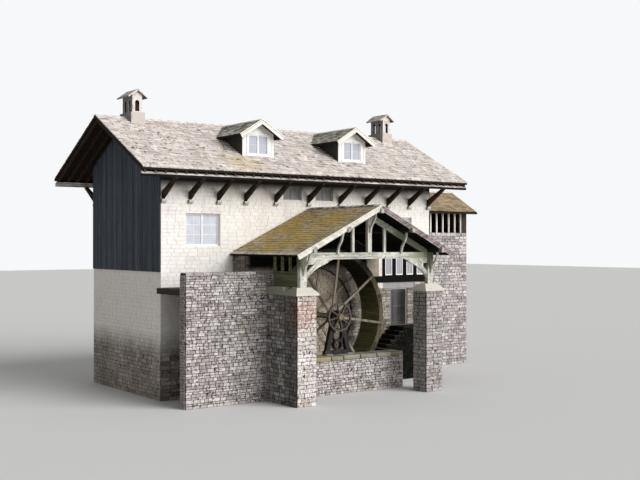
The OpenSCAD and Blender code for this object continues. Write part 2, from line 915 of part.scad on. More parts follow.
module principal() {
  x1 = post_x - post_w / 2;
  run_y(-truss_y - truss_t / 2, -truss_y + truss_t / 2) intersection() {
    polygon([
      [king_w / 2, p_und(king_w / 2) - pp_h - seat], [x1, p_und(x1) - pp_h - seat],
      [x1, p_und(x1) - pp_h - principal_h], [king_w / 2, p_und(king_w / 2) - pp_h - principal_h]
    ]);
    translate([0, tie_z]) square([big / 4, big / 4]);
  }
}

module principal_rafters() {
  color("#cfd0bd") place() both_sides() principal();
}

module king_post() {
  color("#cfd0bd") place() translate([mid_x, 0, 0])
    run_y(-truss_y - truss_t / 2 - 10, -truss_y + truss_t / 2) polygon([
      [-king_w / 2, tie_z], [king_w / 2, tie_z], [king_w / 2, p_und(king_w / 2) - pp_h],
      [0, p_und(king_w / 2) - pp_h], [-king_w / 2, p_und(king_w / 2) - pp_h]
    ]);
}

module truss_studs() {
  a = stud_x - stud_w / 2;
  b = stud_x + stud_w / 2;
  color("#cfd0bd") place() both_sides() run_y(-truss_y - truss_t / 3, -truss_y + truss_t / 3) polygon([
    [a, tie_z], [b, tie_z], [b, p_und(b) - pp_h - principal_h - seat],
    [a, p_und(a) - pp_h - principal_h - seat]
  ]);
}

// Bolsters with a small nose under the tie beam, curved braces below them
module arch_braces() {
  l = post_x - post_w / 2;
  z0 = tie_z - tie_h;
  z1 = z0 - bolster_h;
  n = 12;
  h = truss_t / 2 - 15;
  color("#cfd0bd") place() both_sides() {
    run_y(-truss_y - truss_t / 2, -truss_y + truss_t / 2) polygon([
      [l, z1], [l, z0], [l - brace_r - 430, z0], [l - brace_r - 330, z0 - 45], [l - brace_r - 210, z0 - 80],
      [l - brace_r - 160, z0 - 130], [l - brace_r - 150, z0 - 165], [l - brace_r - 70, z0 - 165],
      [l - brace_r, z1]
    ]);
    run_y(-truss_y - h, -truss_y + h) polygon(concat(
      [for (i = [0:n]) [
        bow(l, l - brace_r * 0.37, l - brace_r, i / n),
        bow(z1 - brace_h, z1 - brace_h * 0.26, z1, i / n)
      ]],
      [for (i = [n:-1:0]) [
        bow(l, l - brace_r * 0.2, l - brace_r * 0.46, i / n),
        bow(z1 - brace_h + brace_w, z1 - brace_h * 0.2, z1, i / n)
      ]]
    ));
  }
}

// Cross section of the ridge purlin and of a lower purlin
module ridge_section() {
  polygon([
    [-pp_w / 2, p_und(pp_w / 2)], [0, p_und(0)], [pp_w / 2, p_und(pp_w / 2)],
    [pp_w / 2, p_und(king_w / 2) - pp_h], [-pp_w / 2, p_und(king_w / 2) - pp_h]
  ]);
}

module purlin_section(x, foot) {
  polygon([
    [x - pp_w / 2, p_und(x - pp_w / 2)], [x + pp_w / 2, p_und(x + pp_w / 2)], [x + pp_w / 2, purlin_foot(x)],
    [x - pp_w / 2, foot]
  ]);
}

module porch_purlins() {
  front = -porch_out - barge_t;
  color("#cfd0bd") place() {
    translate([mid_x, 0, 0]) run_y(-porch_out, -eps) ridge_section();
    translate([mid_x, 0, 0]) run_y(front - 60, front) ridge_section();
    both_sides() for (x = [purlin_x, post_x]) {
      foot = x == post_x ? purlin_foot(x) : p_und(x - pp_w / 2) - pp_h;
      run_y(-porch_out, -eps) purlin_section(x, foot);
      run_y(front - 60, front) purlin_section(x, foot);
    }
  }
}

// An S-shaped bracket in Y and Z, from its foot up to the purlin end
module ogee(y0, z0, y1, z1, w, t) {
  dy = abs(y1 - y0);
  dz = z1 - z0;
  a = 2 * atan(dy / dz);
  r = dz / (2 * sin(a));
  q = 2 * r;
  run_x(-t / 2, t / 2) {
    translate([y0 - r, z0]) intersection() {
      ring(r, w);
      polygon([[0, 0], [q, 0], [q, q * sin(a)], [q * cos(a + 1), q * sin(a + 1)]]);
    }
    translate([y1 + r, z1]) intersection() {
      ring(r, w);
      polygon([[0, 0], [-q, 0], [-q, -q * sin(a)], [-q * cos(a + 1), -q * sin(a + 1)]]);
    }
  }
}

module ring(r, w) {
  difference() {
    circle(r = r + w / 2, $fn = 96);
    circle(r = r - w / 2, $fn = 96);
  }
}

module verge_brackets() {
  yf = -truss_y - truss_t / 2 - bracket_w / 2;
  yk = yf - 10;
  yp = post_f - bracket_w / 2;
  color("#cfd0bd") place() {
    translate([mid_x, 0, 0])
      ogee(yk, tie_z + 900, yk - bracket_reach, p_und(king_w / 2) - pp_h - seat, bracket_w, bracket_t);
    both_sides() {
      translate([purlin_x, 0, 0])
        ogee(yf, tie_z - 60, yf - bracket_reach, p_und(purlin_x + bracket_t / 2) - pp_h - seat, bracket_w,
          bracket_t);
      translate([post_x, 0, 0])
        ogee(yp, tie_z - 960, yp - bracket_reach - 60, purlin_foot(post_x) - seat, bracket_w, bracket_t);
    }
  }
}

module porch_slab() {
  run_y(-porch_out, -eps) polygon([
    [slit / 2, p_top(slit / 2)], [porch_half, porch_eave_z], [porch_half, porch_eave_z - p_v],
    [slit / 2, p_top(slit / 2) - p_v]
  ]);
}

module porch_roof_left() {
  color("#96803f") place() translate([mid_x, 0, 0]) mirror([1, 0, 0]) porch_slab();
}

module porch_roof_right() {
  color("#8d7c52") place() translate([mid_x, 0, 0]) porch_slab();
}

module bargeboards() {
  x1 = porch_half + 90;
  color("#d8d8c6") place() both_sides() run_y(-porch_out - barge_t, -porch_out) polygon([
    [slit / 2, p_top(slit / 2) + 30], [x1, p_top(x1) + 30], [x1, p_top(x1) + 30 - barge_v],
    [slit / 2, p_top(slit / 2) + 30 - barge_v]
  ]);
}

module side_frame() {
  x0 = side_x1 - side_w - 60;
  z1 = pier_top + side_panel;
  ztop = purlin_foot(post_x) - seat;
  y0 = post_b;
  y1 = -race_y;
  color("#7d8468") place() {
    box(x0, x0 + side_w, y0, y1, pier_top, z1);
    box(x0 - 20, x0 + side_w + 20, y0, y1, z1 - eps, z1 + 90);
    for (i = [0:3]) {
      y = y0 + (y1 - y0 - side_w) * i / 3;
      box(x0, x0 + side_w, y, y + side_w, z1, ztop);
    }
    box(x0, x0 + side_w + 60, y0, y1, ztop - 100, ztop);
  }
}

// Head race and pit
module race_wall() {
  color("#8f817a") place() box(race_x0, side_x1, -race_y, -race_y + race_t, 0, race_h);
}

module race_bed() {
  color("#857a72") place() {
    box(race_x0, side_x1, -race_y + race_t, 0, race_bed_z - race_bed_t, race_bed_z);
    box(side_x1 - 350, side_x1, -race_y + race_t, 0, 0, race_bed_z - race_bed_t - seat);
  }
}

module pit_walls() {
  color("#857a72") place() {
    box(pit_x0, pit_x1, -pit_y, -pit_y + pit_t, 0, pit_h);
    box(pit_x1 - 380, pit_x1, -pit_y + pit_t + slit, 0, 0, kerb_top);
  }
}

module pit_kerb() {
  color("#c9c0ae") place() box(pit_x0, pit_x1, -pit_y - 60, -pit_y + pit_t, pit_h, kerb_top);
}

// Bearing stand
module cast_ring(z, ri, ro) {
  translate([0, z]) difference() {
    circle(r = ro, $fn = 96);
    circle(r = ri, $fn = 96);
  }
}

module stand_profile() {
  difference() {
    union() {
      polygon([
        [-stand_half, kerb_top], [-stand_half + leg_w * 1.4, kerb_top], [-axle_r - 20, wheel_z - 120],
        [axle_r + 20, wheel_z - 120], [stand_half - leg_w * 1.4, kerb_top], [stand_half, kerb_top],
        [axle_r + leg_w, wheel_z + 60], [-axle_r - leg_w, wheel_z + 60]
      ]);
      translate([-stand_half, kerb_top]) square([2 * stand_half, 190]);
      cast_ring(kerb_top + 900, 235, 315);
      cast_ring(kerb_top + 450, 185, 262);
      translate([0, wheel_z]) circle(r = axle_r + leg_w, $fn = 96);
    }
    translate([0, wheel_z]) circle(r = axle_r + run_gap, $fn = 96);
  }
}

module bearing_stand() {
  color("#2c2a33") place() translate([mid_x, 0, 0])
    run_y(stand_mid - stand_t / 2, stand_mid + stand_t / 2) stand_profile();
}

module wall_bearing() {
  color("#2c2a33") place() translate([mid_x, 0, wheel_z]) rotate([90, 0, 0]) difference() {
    translate([-380, -380, 0]) cube([760, 760, 90]);
    translate([0, 0, -1]) cylinder(r = axle_r + run_gap, h = 100, $fn = 96);
  }
}

// Side wing
module wing_end() {
  polygon([
    [wing_y0, 0], [wing_y1, 0], [wing_y1, w_und(wing_y1)], [ridge_y, w_und(ridge_y)],
    [wing_y0, w_und(wing_y0)]
  ]);
}

module wing_walls() {
  color("#b9aea4") place() {
    box(mill_len, wing_x1 - wing_t - slit, wing_y0, wing_y0 + wing_t, 0, wing_sill_z);
    box(mill_len, wing_x1 - wing_t - slit, wing_y1 - wing_t, wing_y1, 0, w_und(wing_y1));
    run_x(wing_x1 - wing_t, wing_x1) wing_end();
  }
}

module wing_floor() {
  color("#8a7355") place()
    box(mill_len, wing_x1 - wing_t, wing_y0 + wing_t, wing_y1 - wing_t,
      wing_floor_z - floor_t, wing_floor_z);
}

module wing_slab() {
  y0 = wing_y0 - wing_over;
  run_x(mill_len, wing_x1 + wing_verge) polygon([
    [y0, wing_eave_z], [ridge_y - slit / 2, wing_z - slit / 2 * wing_slope],
    [ridge_y - slit / 2, wing_z - slit / 2 * wing_slope - wing_v], [y0, wing_eave_z - wing_v]
  ]);
}

module wing_roof() {
  color("#7f6f55") place() {
    wing_slab();
    translate([0, 2 * ridge_y, 0]) mirror([0, 1, 0]) wing_slab();
  }
}

module wing_posts() {
  y1 = wing_y0 + 160;
  zp = w_und(wing_y0) - 150;
  span = wing_x1 - wing_t - mill_len - wing_post_w - 2 * slit;
  color("#4b4036") place() {
    for (i = [0:wing_posts_n - 1]) {
      x = mill_len + slit + span * i / (wing_posts_n - 1);
      box(x, x + wing_post_w, wing_y0 + 40, wing_y0 + 40 + wing_post_w, wing_sill_z, zp - seat);
    }
    run_x(mill_len, wing_x1 - wing_t - slit) polygon([
      [wing_y0, zp], [y1, zp], [y1, w_und(y1)], [wing_y0, w_und(wing_y0)]
    ]);
  }
}

// Water wheel
module at_axis(y) {
  translate([mid_x, y, wheel_z]) rotate([90, 0, 0]) children();
}

// A ring in curved lengths, with a thin slit between two lengths
module curved_pieces(n, ro, ri, t) {
  b = 180 / n - 0.03;
  r = ro * 1.1;
  for (i = [0:n - 1]) rotate([0, 0, (i + 0.5) * 360 / n + arm_turn]) linear_extrude(t) intersection() {
    difference() {
      circle(r = ro, $fn = 240);
      circle(r = ri, $fn = 240);
    }
    polygon([[0, 0], [r * cos(b), -r * sin(b)], [r, 0], [r * cos(b), r * sin(b)]]);
  }
}

module wheel_rims() {
  color("#7a705c") place() {
    at_axis(-wheel_y + rim_t) curved_pieces(16, wheel_r, wheel_r - rim_h, rim_t);
    at_axis(wheel_back) curved_pieces(16, wheel_r, wheel_r - rim_h, rim_t);
  }
}

module sole_boards() {
  w = 2 * sole_r * tan(180 / bucket_n) - slit;
  len = wheel_w - 2 * rim_t;
  color("#3f3d28") place() at_axis(wheel_back - rim_t) for (i = [0:bucket_n - 1])
    rotate([0, 0, (i + 0.5) * 360 / bucket_n]) translate([sole_r + 5, -w / 2, 0]) cube([sole_t, w, len]);
}

module buckets() {
  len = wheel_w - 2 * rim_t;
  l = rim_h - sole_t - 60;
  color("#4a4630") place() at_axis(wheel_back - rim_t) for (i = [0:bucket_n - 1])
    rotate([0, 0, (i + 0.5) * 360 / bucket_n]) translate([sole_r + sole_t + 5 + bucket_t * 0.55, 0, 0])
      rotate([0, 0, bucket_lean]) translate([0, -bucket_t / 2, 0]) cube([l, bucket_t, len]);
}

module arm_set(y) {
  at_axis(y) difference() {
    for (i = [0:arm_n - 1]) rotate([0, 0, i * 360 / arm_n + arm_turn])
      translate([hub_r * 0.9, -arm_w / 2, 0]) cube([arm_out - hub_r * 0.9, arm_w, arm_t]);
    translate([0, 0, -1]) cylinder(r = hub_r + seat, h = arm_t + 2, $fn = 120);
  }
}

module wheel_arms() {
  color("#8d8270") place() {
    arm_set(-wheel_y);
    arm_set(wheel_back + arm_t);
  }
}

module wheel_axle() {
  color("#3b3836") place() {
    at_axis(-10) cylinder(r = axle_r, h = wheel_y + small_y + small_t / 2 + 80, $fn = 96);
    at_axis(-wheel_y) cylinder(r = hub_r, h = hub_t, $fn = 96);
    at_axis(wheel_back + arm_t + 20) cylinder(r = hub_r, h = hub_t, $fn = 96);
  }
}

module back_ring() {
  color("#2f2c28") place() at_axis(wheel_back) curved_pieces(16, ring_r + 35, ring_r - 35, 60);
}

module small_wheel() {
  color("#4d463c") place() at_axis(small_mid + small_t / 2) linear_extrude(small_t) difference() {
    union() {
      difference() {
        circle(r = small_r, $fn = 128);
        circle(r = small_r - 80, $fn = 128);
      }
      circle(r = axle_r + 60, $fn = 96);
      for (i = [0:7]) rotate([0, 0, i * 45 + 12])
        translate([axle_r + 10, -28]) square([small_r - 60 - axle_r, 56]);
    }
    circle(r = axle_r + run_gap, $fn = 96);
  }
}

front_wall_left();
front_wall_right();
front_wall_over_door();
back_wall();
left_wall();
right_wall();
gable_boarding();
floors();
main_roof_front();
main_roof_back();
rafters();
eaves_purlins();
eaves_struts();
strut_corbels();
dormer_walls();
dormer_roofs();
chimneys();
chimney_caps();
window_frames();
window_glass();
strip_frame();
door_frame();
steps();
porch_piers();
porch_side_wall();
stone_caps();
porch_posts();
tie_beam();
principal_rafters();
king_post();
truss_studs();
arch_braces();
porch_purlins();
verge_brackets();
porch_roof_left();
porch_roof_right();
bargeboards();
side_frame();
race_wall();
race_bed();
pit_walls();
pit_kerb();
bearing_stand();
wall_bearing();
wing_walls();
wing_floor();
wing_roof();
wing_posts();
wheel_rims();
sole_boards();
buckets();
wheel_arms();
wheel_axle();
back_ring();
small_wheel();
door_leaf();
door_straps();
door_pins();
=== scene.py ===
import json
import math
import random

import bmesh
import bpy
from mathutils import Matrix, Vector

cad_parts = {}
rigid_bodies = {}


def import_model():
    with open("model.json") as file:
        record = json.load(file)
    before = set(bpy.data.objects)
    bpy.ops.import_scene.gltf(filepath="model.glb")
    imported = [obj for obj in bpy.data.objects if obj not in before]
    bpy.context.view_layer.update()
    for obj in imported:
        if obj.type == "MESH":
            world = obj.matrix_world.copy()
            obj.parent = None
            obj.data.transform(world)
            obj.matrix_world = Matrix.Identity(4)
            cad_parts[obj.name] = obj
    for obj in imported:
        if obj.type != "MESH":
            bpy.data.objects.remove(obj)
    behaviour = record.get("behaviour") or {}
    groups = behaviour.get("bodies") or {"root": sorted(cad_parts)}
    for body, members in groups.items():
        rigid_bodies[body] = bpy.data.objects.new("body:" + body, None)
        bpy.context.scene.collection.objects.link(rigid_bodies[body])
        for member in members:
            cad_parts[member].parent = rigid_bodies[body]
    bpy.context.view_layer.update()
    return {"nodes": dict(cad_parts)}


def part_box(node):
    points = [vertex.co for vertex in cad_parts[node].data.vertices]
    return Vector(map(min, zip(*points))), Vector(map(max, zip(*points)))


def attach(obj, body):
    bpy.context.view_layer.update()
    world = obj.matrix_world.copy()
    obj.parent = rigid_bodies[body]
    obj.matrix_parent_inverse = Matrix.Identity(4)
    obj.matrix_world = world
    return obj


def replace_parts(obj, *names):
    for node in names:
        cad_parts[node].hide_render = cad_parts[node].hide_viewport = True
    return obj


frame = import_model()
nodes = frame["nodes"]


# sides of a CAD node's box by name, in metres: X along the facade, Y into the building
def boxOf(name):
    (left, front, low), (right, back, high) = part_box(name)
    sides = {"left": left, "right": right, "front": front, "back": back, "low": low, "high": high}
    return {side: round(value, 4) for side, value in sides.items()}


# the way from start to end, to a tenth of a millimetre
def less(end, start):
    return round(end - start, 4)


mill = {**boxOf("front_wall_left"), "right": boxOf("front_wall_right")["right"],
        "back": boxOf("back_wall")["back"]}
# eaves: height of the upper side of the slope at its foot; rise: from there up to the ridge
roof = {**boxOf("main_roof_front"), "back": boxOf("main_roof_back")["back"], "eaves": 10.22, "pitch": 28}
porch = {**boxOf("porch_roof_left"), "right": boxOf("porch_roof_right")["right"], "eaves": 6.50, "rise": 2.15}
wing = boxOf("wing_walls")
wingRoof = {**boxOf("wing_roof"), "eaves": 8.75, "rise": 1.25}
dormer = {"middles": (-2.83, 2.83), "reach": 1.225, "eaves": 12.04, "rise": 0.76, "ridge": 12.80}
print("mill: frame loaded")


# small helpers
def dropSelection():
    if bpy.context.mode != "OBJECT":
        bpy.ops.object.mode_set(mode="OBJECT")
    bpy.ops.object.select_all(action="DESELECT")


def editPiece(piece):
    dropSelection()
    piece.select_set(True)
    bpy.context.view_layer.objects.active = piece
    bpy.ops.object.mode_set(mode="EDIT")


def pickFaces(piece, test):
    bpy.ops.mesh.select_mode(type="FACE")
    bpy.ops.mesh.select_all(action="DESELECT")
    shape = bmesh.from_edit_mesh(piece.data)
    shape.faces.ensure_lookup_table()
    for face in shape.faces:
        face.select_set(bool(test(face.calc_center_median(), face.normal)))
    shape.select_flush_mode()
    bmesh.update_edit_mesh(piece.data)


def pickPoints(piece, test):
    bpy.ops.mesh.select_mode(type="VERT")
    bpy.ops.mesh.select_all(action="DESELECT")
    shape = bmesh.from_edit_mesh(piece.data)
    for point in shape.verts:
        point.select_set(bool(test(point.co)))
    shape.select_flush_mode()
    bmesh.update_edit_mesh(piece.data)


def pickAll():
    bpy.ops.mesh.select_all(action="SELECT")


def applyPlace():
    bpy.ops.object.transform_apply(location=True, rotation=True, scale=True)


def startBlock(name, size, centre):
    dropSelection()
    bpy.ops.mesh.primitive_cube_add(size=1, location=centre, scale=size)
    applyPlace()
    piece = bpy.context.object
    piece.name = name
    return piece


def bevelAll(piece, width, segments=1):
    editPiece(piece)
    pickAll()
    bpy.ops.mesh.bevel(offset=width, segments=segments, affect="EDGES")
    dropSelection()


# a straight bar between two points: deep lies level across it, wide stands square to both
def bar(name, start, end, wide, deep):
    line = end - start
    piece = startBlock(name, (deep, wide, line.length), (0, 0, 0))
    turned = line.to_track_quat("Z", "Y").to_matrix().to_4x4()
    piece.matrix_world = Matrix.Translation((start + end) / 2) @ turned
    piece.select_set(True)
    applyPlace()
    return piece


def cutPiece(piece, place, normal, keepBoth=False):
    editPiece(piece)
    pickAll()
    bpy.ops.mesh.bisect(plane_co=place, plane_no=normal, use_fill=not keepBoth, clear_outer=not keepBoth)
    dropSelection()


def setValues(mesh, name, values):
    mesh.attributes[name].data.foreach_set("value", values)


# tone tints a whole copy, edge darkens the points that a test picks
def addTone(piece, edgeAt=lambda point: 0.0, tone=0.0):
    mesh = piece.data
    for name in ("tone", "edge"):
        if name not in mesh.attributes:
            mesh.attributes.new(name, "FLOAT", "POINT")
    setValues(mesh, "tone", [tone] * len(mesh.vertices))
    setValues(mesh, "edge", [edgeAt(point.co) for point in mesh.vertices])


# objects are joined by the hundred, which is quicker than all at once
batch = 100


def joinPieces(pieces, name):
    while True:
        made = []
        for first in range(0, len(pieces), batch):
            group = pieces[first:first + batch]
            dropSelection()
            for piece in group:
                piece.select_set(True)
            bpy.context.view_layer.objects.active = group[0]
            if len(group) > 1:
                bpy.ops.object.join()
            made.append(bpy.context.view_layer.objects.active)
        if len(made) == 1:
            break
        pieces = made
    made[0].name = name
    made[0].data.name = name
    return made[0]


def spreadCopies(patterns, places, name):
    made = []
    for first in range(0, len(places), batch):
        copies = []
        for matrix, tone, which in places[first:first + batch]:
            pattern = patterns[which % len(patterns)]
            copy = pattern.copy()
            copy.data = pattern.data.copy()
            copy.data.transform(matrix)
            setValues(copy.data, "tone", [tone] * len(copy.data.vertices))
            bpy.context.scene.collection.objects.link(copy)
            copies.append(copy)
        made.append(joinPieces(copies, name))
        bpy.data.batch_remove([mesh for mesh in bpy.data.meshes if not mesh.users])
    return joinPieces(made, name)


def removePatterns(patterns):
    for pattern in patterns:
        bpy.data.objects.remove(pattern)


def dress(piece, body, material):
    piece.data.materials.clear()
    piece.data.materials.append(bpy.data.materials[material])
    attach(piece, body)
    return piece


def lay(patterns, places, name, material, body="mill"):
    return dress(spreadCopies(patterns, places, name), body, material)


def fix(pieces, name, material, body="mill"):
    return dress(joinPieces(pieces, name), body, material)


# material helpers
# a colour is written as red, green and blue from 0 to 255
def srgb(red, green, blue):
    values = []
    for part in (red, green, blue):
        part = part / 255
        values.append(part / 12.92 if part <= 0.04045 else ((part + 0.055) / 1.055) ** 2.4)
    return (*values, 1.0)


def put(tree, kind, values=None, **settings):
    made = tree.nodes.new(kind)
    for key, value in settings.items():
        setattr(made, key, value)
    for key, value in (values or {}).items():
        if isinstance(value, bpy.types.NodeSocket):
            tree.links.new(value, made.inputs[key])
        else:
            made.inputs[key].default_value = value
    return made


def mixColour(tree, amount, first, second, blend="MIX"):
    first, second = (srgb(*value) if isinstance(value, tuple) else value for value in (first, second))
    made = put(tree, "ShaderNodeMix", {0: amount, 6: first, 7: second}, data_type="RGBA", blend_type=blend)
    return made.outputs[2]


def maths(tree, operation, first, second=0.0):
    return put(tree, "ShaderNodeMath", {0: first, 1: second}, operation=operation).outputs[0]


def times(tree, first, second):
    return maths(tree, "MULTIPLY", first, second)


def tinted(tree, colour, mask, amount, other):
    return mixColour(tree, times(tree, mask, amount), colour, other)


# each layer is a mask, its strength and its colour
def layered(tree, colour, layers):
    for mask, amount, other in layers:
        colour = tinted(tree, colour, mask, amount, other)
    return colour


def between(tree, value, low, high, outLow=0.0, outHigh=1.0):
    return put(tree, "ShaderNodeMapRange", {"Value": value, "From Min": low, "From Max": high,
               "To Min": outLow, "To Max": outHigh}).outputs[0]


def noise(tree, place, scale, detail, roughness=0.5):
    return put(tree, "ShaderNodeTexNoise", {"Vector": place, "Scale": scale, "Detail": detail,
               "Roughness": roughness}).outputs["Fac"]


def mapped(tree, place, values):
    return put(tree, "ShaderNodeMapping", {"Vector": place, **values}).outputs[0]


def useGroup(tree, group, values):
    return put(tree, "ShaderNodeGroup", values, node_tree=group).outputs


def newGroup(name, numbers, results):
    group = bpy.data.node_groups.new(name, "ShaderNodeTree")
    group.interface.new_socket("Vector", in_out="INPUT", socket_type="NodeSocketVector")
    for label, value in numbers.items():
        socket = group.interface.new_socket(label, in_out="INPUT", socket_type="NodeSocketFloat")
        socket.default_value = value
    for label in results:
        group.interface.new_socket(label, in_out="OUTPUT", socket_type="NodeSocketFloat")
    return group, group.nodes.new("NodeGroupInput").outputs, group.nodes.new("NodeGroupOutput").inputs


def newMaterial(name, roughness, metallic=0.0, specular=0.08):
    material = bpy.data.materials.new(name)
    material.use_nodes = True
    tree = material.node_tree
    tree.nodes.clear()
    shader = put(tree, "ShaderNodeBsdfPrincipled", {"Roughness": roughness, "Metallic": metallic,
                 "Specular IOR Level": specular})
    put(tree, "ShaderNodeOutputMaterial", {0: shader.outputs[0]})
    place = put(tree, "ShaderNodeTexCoord").outputs["Object"]
    return tree, shader, place


def finishShader(tree, shader, colour, height, strength, distance):
    tree.links.new(colour, shader.inputs["Base Color"])
    bump = put(tree, "ShaderNodeBump", {"Height": height, "Strength": strength, "Distance": distance})
    tree.links.new(bump.outputs[0], shader.inputs["Normal"])


# shared effects
# soft patches: a noise cut between two levels
patches, given, result = newGroup("patches", {"Scale": 1.0, "Low": 0.45, "High": 0.6}, ["Mask"])
cloud = noise(patches, given["Vector"], given["Scale"], 6.0, 0.62)
patches.links.new(between(patches, cloud, given["Low"], given["High"]), result["Mask"])

# streaks that run down a wall: a noise drawn out along Z
streaks, given, result = newGroup("streaks", {"Scale": 1.0, "Low": 0.45, "High": 0.65}, ["Mask"])
drawn = mapped(streaks, given["Vector"], {"Scale": (1.0, 1.0, 0.12)})
cloud = noise(streaks, drawn, given["Scale"], 5.0, 0.6)
streaks.links.new(between(streaks, cloud, given["Low"], given["High"]), result["Mask"])

# wood grain that runs along Z
grain, given, result = newGroup("grain", {"Scale": 1.0}, ["Tone", "Height"])
along = mapped(grain, given["Vector"], {"Scale": (1.0, 1.0, 0.05)})
fine = noise(grain, along, times(grain, given["Scale"], 42.0), 4.0, 0.65)
wide = noise(grain, along, times(grain, given["Scale"], 9.0), 3.0)
grainSum = maths(grain, "ADD", times(grain, fine, 0.6), times(grain, wide, 0.5))
grain.links.new(between(grain, grainSum, 0.40, 0.68), result["Tone"])
grain.links.new(fine, result["Height"])

# grainy stone surface: fine and coarse relief together
rough, given, result = newGroup("roughStone", {"Scale": 1.0}, ["Tone", "Height"])
fine = noise(rough, given["Vector"], times(rough, given["Scale"], 60.0), 4.0, 0.7)
wide = noise(rough, given["Vector"], times(rough, given["Scale"], 11.0), 5.0, 0.6)
rough.links.new(fine, result["Tone"])
rough.links.new(maths(rough, "ADD", times(rough, fine, 0.4), times(rough, wide, 0.6)), result["Height"])
print("mill: shared effects ready")


def patchMask(tree, place, scale, low, high):
    return useGroup(tree, patches, {"Vector": place, "Scale": scale, "Low": low, "High": high})["Mask"]


def attributeOf(tree, name):
    return put(tree, "ShaderNodeAttribute", attribute_name=name).outputs["Fac"]


def splitPlace(tree, place):
    return put(tree, "ShaderNodeSeparateXYZ", {0: place}).outputs


def mirrorX(tree, place, shift=0.0):
    parts = splitPlace(tree, place)
    return put(tree, "ShaderNodeCombineXYZ", {0: maths(tree, "ABSOLUTE", maths(tree, "ADD", parts[0], shift)),
               1: parts[1], 2: parts[2]}).outputs[0]


def faceNormal(tree):
    return splitPlace(tree, put(tree, "ShaderNodeNewGeometry").outputs["True Normal"])


# a box is its two x, two y and two z, and the width of its soft edge
def inBox(tree, place, x0, x1, y0, y1, z0, z1, soft):
    parts = splitPlace(tree, place)
    mask = None
    for part, low, high in ((parts[0], x0, x1), (parts[1], y0, y1), (parts[2], z0, z1)):
        side = times(tree, between(tree, part, low - soft, low), between(tree, part, high + soft, high))
        mask = side if mask is None else times(tree, mask, side)
    return mask


# what a stone takes where its own look says nothing else
anyStone = {"toned": True, "toneShare": 0.6, "calm": 0.35, "speckle": 0.35, "speckleScale": 9.0,
            "chips": 0.0, "chipLow": 0.60, "chipScale": 14.0, "stainScale": 1.3, "stainLow": 0.5,
            "stainShare": 0.5, "mossScale": 0.9, "mossShare": 0.8, "joint": 0.75, "bump": 0.7}


# look: three stone colours, speckle, chips, stain, rust, moss, painted shade on left and back faces, and the
# darkness of the joints
def stoneMaterial(name, own):
    look = {**anyStone, **own}
    tree, shader, place = newMaterial(name, 0.9)
    surface = useGroup(tree, rough, {"Vector": place, "Scale": 1.0})
    dark, light = look["dark"], look["light"]
    colour = mixColour(tree, surface["Tone"], dark, light)
    if look["toned"]:
        byTone = mixColour(tree, attributeOf(tree, "tone"), dark, light)
        colour = mixColour(tree, look["toneShare"], colour, byTone)
    colour = mixColour(tree, look["calm"], colour, look["middle"])
    layers = [(patchMask(tree, place, look["speckleScale"], 0.54, 0.64), look["speckle"], dark)]
    if look["chips"]:
        chips = patchMask(tree, place, look["chipScale"], look["chipLow"], look["chipLow"] + 0.04)
        layers.append((chips, look["chips"], look["chipColour"]))
    stains = patchMask(tree, place, look["stainScale"], look["stainLow"], look["stainLow"] + 0.2)
    layers.append((stains, look["stainShare"], look["stain"]))
    if "rust" in look:
        layers.append((patchMask(tree, place, 2.6, 0.56, 0.7), 0.5, look["rust"]))
    if "moss" in look:
        growth = patchMask(tree, place, look["mossScale"], look["mossLow"], look["mossLow"] + 0.1)
        if "mossFine" in look:
            growth = times(tree, growth, patchMask(tree, place, look["mossFine"], 0.36, 0.56))
        if "mossBox" in look:
            growth = times(tree, growth, inBox(tree, place, *look["mossBox"], 0.7))
        layers.append((growth, look["mossShare"], look["moss"]))
    # painted shade: left- and back-facing faces and one box are darkened, to a paler colour inside a second
    # box
    if "leftFaceShade" in look:
        facing = faceNormal(tree)
        left, back = between(tree, facing[0], -0.25, -0.45), between(tree, facing[1], 0.25, 0.45)
        paintedShade = maths(tree, "MAXIMUM", left, back)
        paintedShade = maths(tree, "MAXIMUM", paintedShade, inBox(tree, place, *look["extraShadeBox"], 0.01))
        paleShade = inBox(tree, place, *look["paleShadeBox"], 0.1)
        layers.append((paintedShade, 0.75, mixColour(tree, paleShade, look["leftFaceShade"], look["paleShadeFace"])))
    # the edge attribute darkens the joints; on slates this is painted shade under the next row
    if look["toned"]:
        gap = attributeOf(tree, "edge")
        if "jointScale" in look:
            broken = patchMask(tree, place, look["jointScale"], 0.50, 0.58)
            gap = times(tree, gap, between(tree, broken, 0.0, 1.0, look["jointLow"], 1.0))
        layers.append((gap, look["joint"], look.get("jointColour", dark)))
    finishShader(tree, shader, layered(tree, colour, layers), surface["Height"], look["bump"], 0.02)


# squared stone of the piers, reddish in one place
pierMoss = {"mossLow": 0.34, "mossScale": 2.6, "mossFine": 9.0}
brokenJoints = {"jointScale": 5.0, "jointLow": 0.5}
stoneMaterial("greyStone", {"dark": (96, 84, 78), "middle": (228, 217, 211), "light": (254, 249, 246),
    "stain": (160, 148, 134), "stainShare": 0.3, "toneShare": 0.55, "calm": 0.22, "speckle": 0.95,
    "speckleScale": 11.0, "chips": 1.0, "chipScale": 8.0, "chipLow": 0.57, "chipColour": (46, 38, 34),
    "rust": (164, 128, 110), "joint": 0.7, "jointColour": (84, 72, 66), **brokenJoints, **pierMoss,
    "moss": (160, 108, 80), "mossBox": (-4.3, -3.0, -5.5, -5.2, 3.75, 4.2), "mossShare": 0.75, "bump": 0.9})
# the left sides of the piers, dark with painted shade
stoneMaterial("dampStone", {"dark": (20, 18, 17), "middle": (80, 77, 74), "light": (204, 200, 196),
    "stain": (50, 50, 38), "calm": 0.2, "speckle": 0.85, "speckleScale": 11.0, "joint": 0.85,
    "jointColour": (18, 16, 15), **pierMoss, "moss": (104, 68, 46),
    "mossBox": (-4.3, -4.1, -5.3, -4.95, 3.6, 4.3), "bump": 0.9})
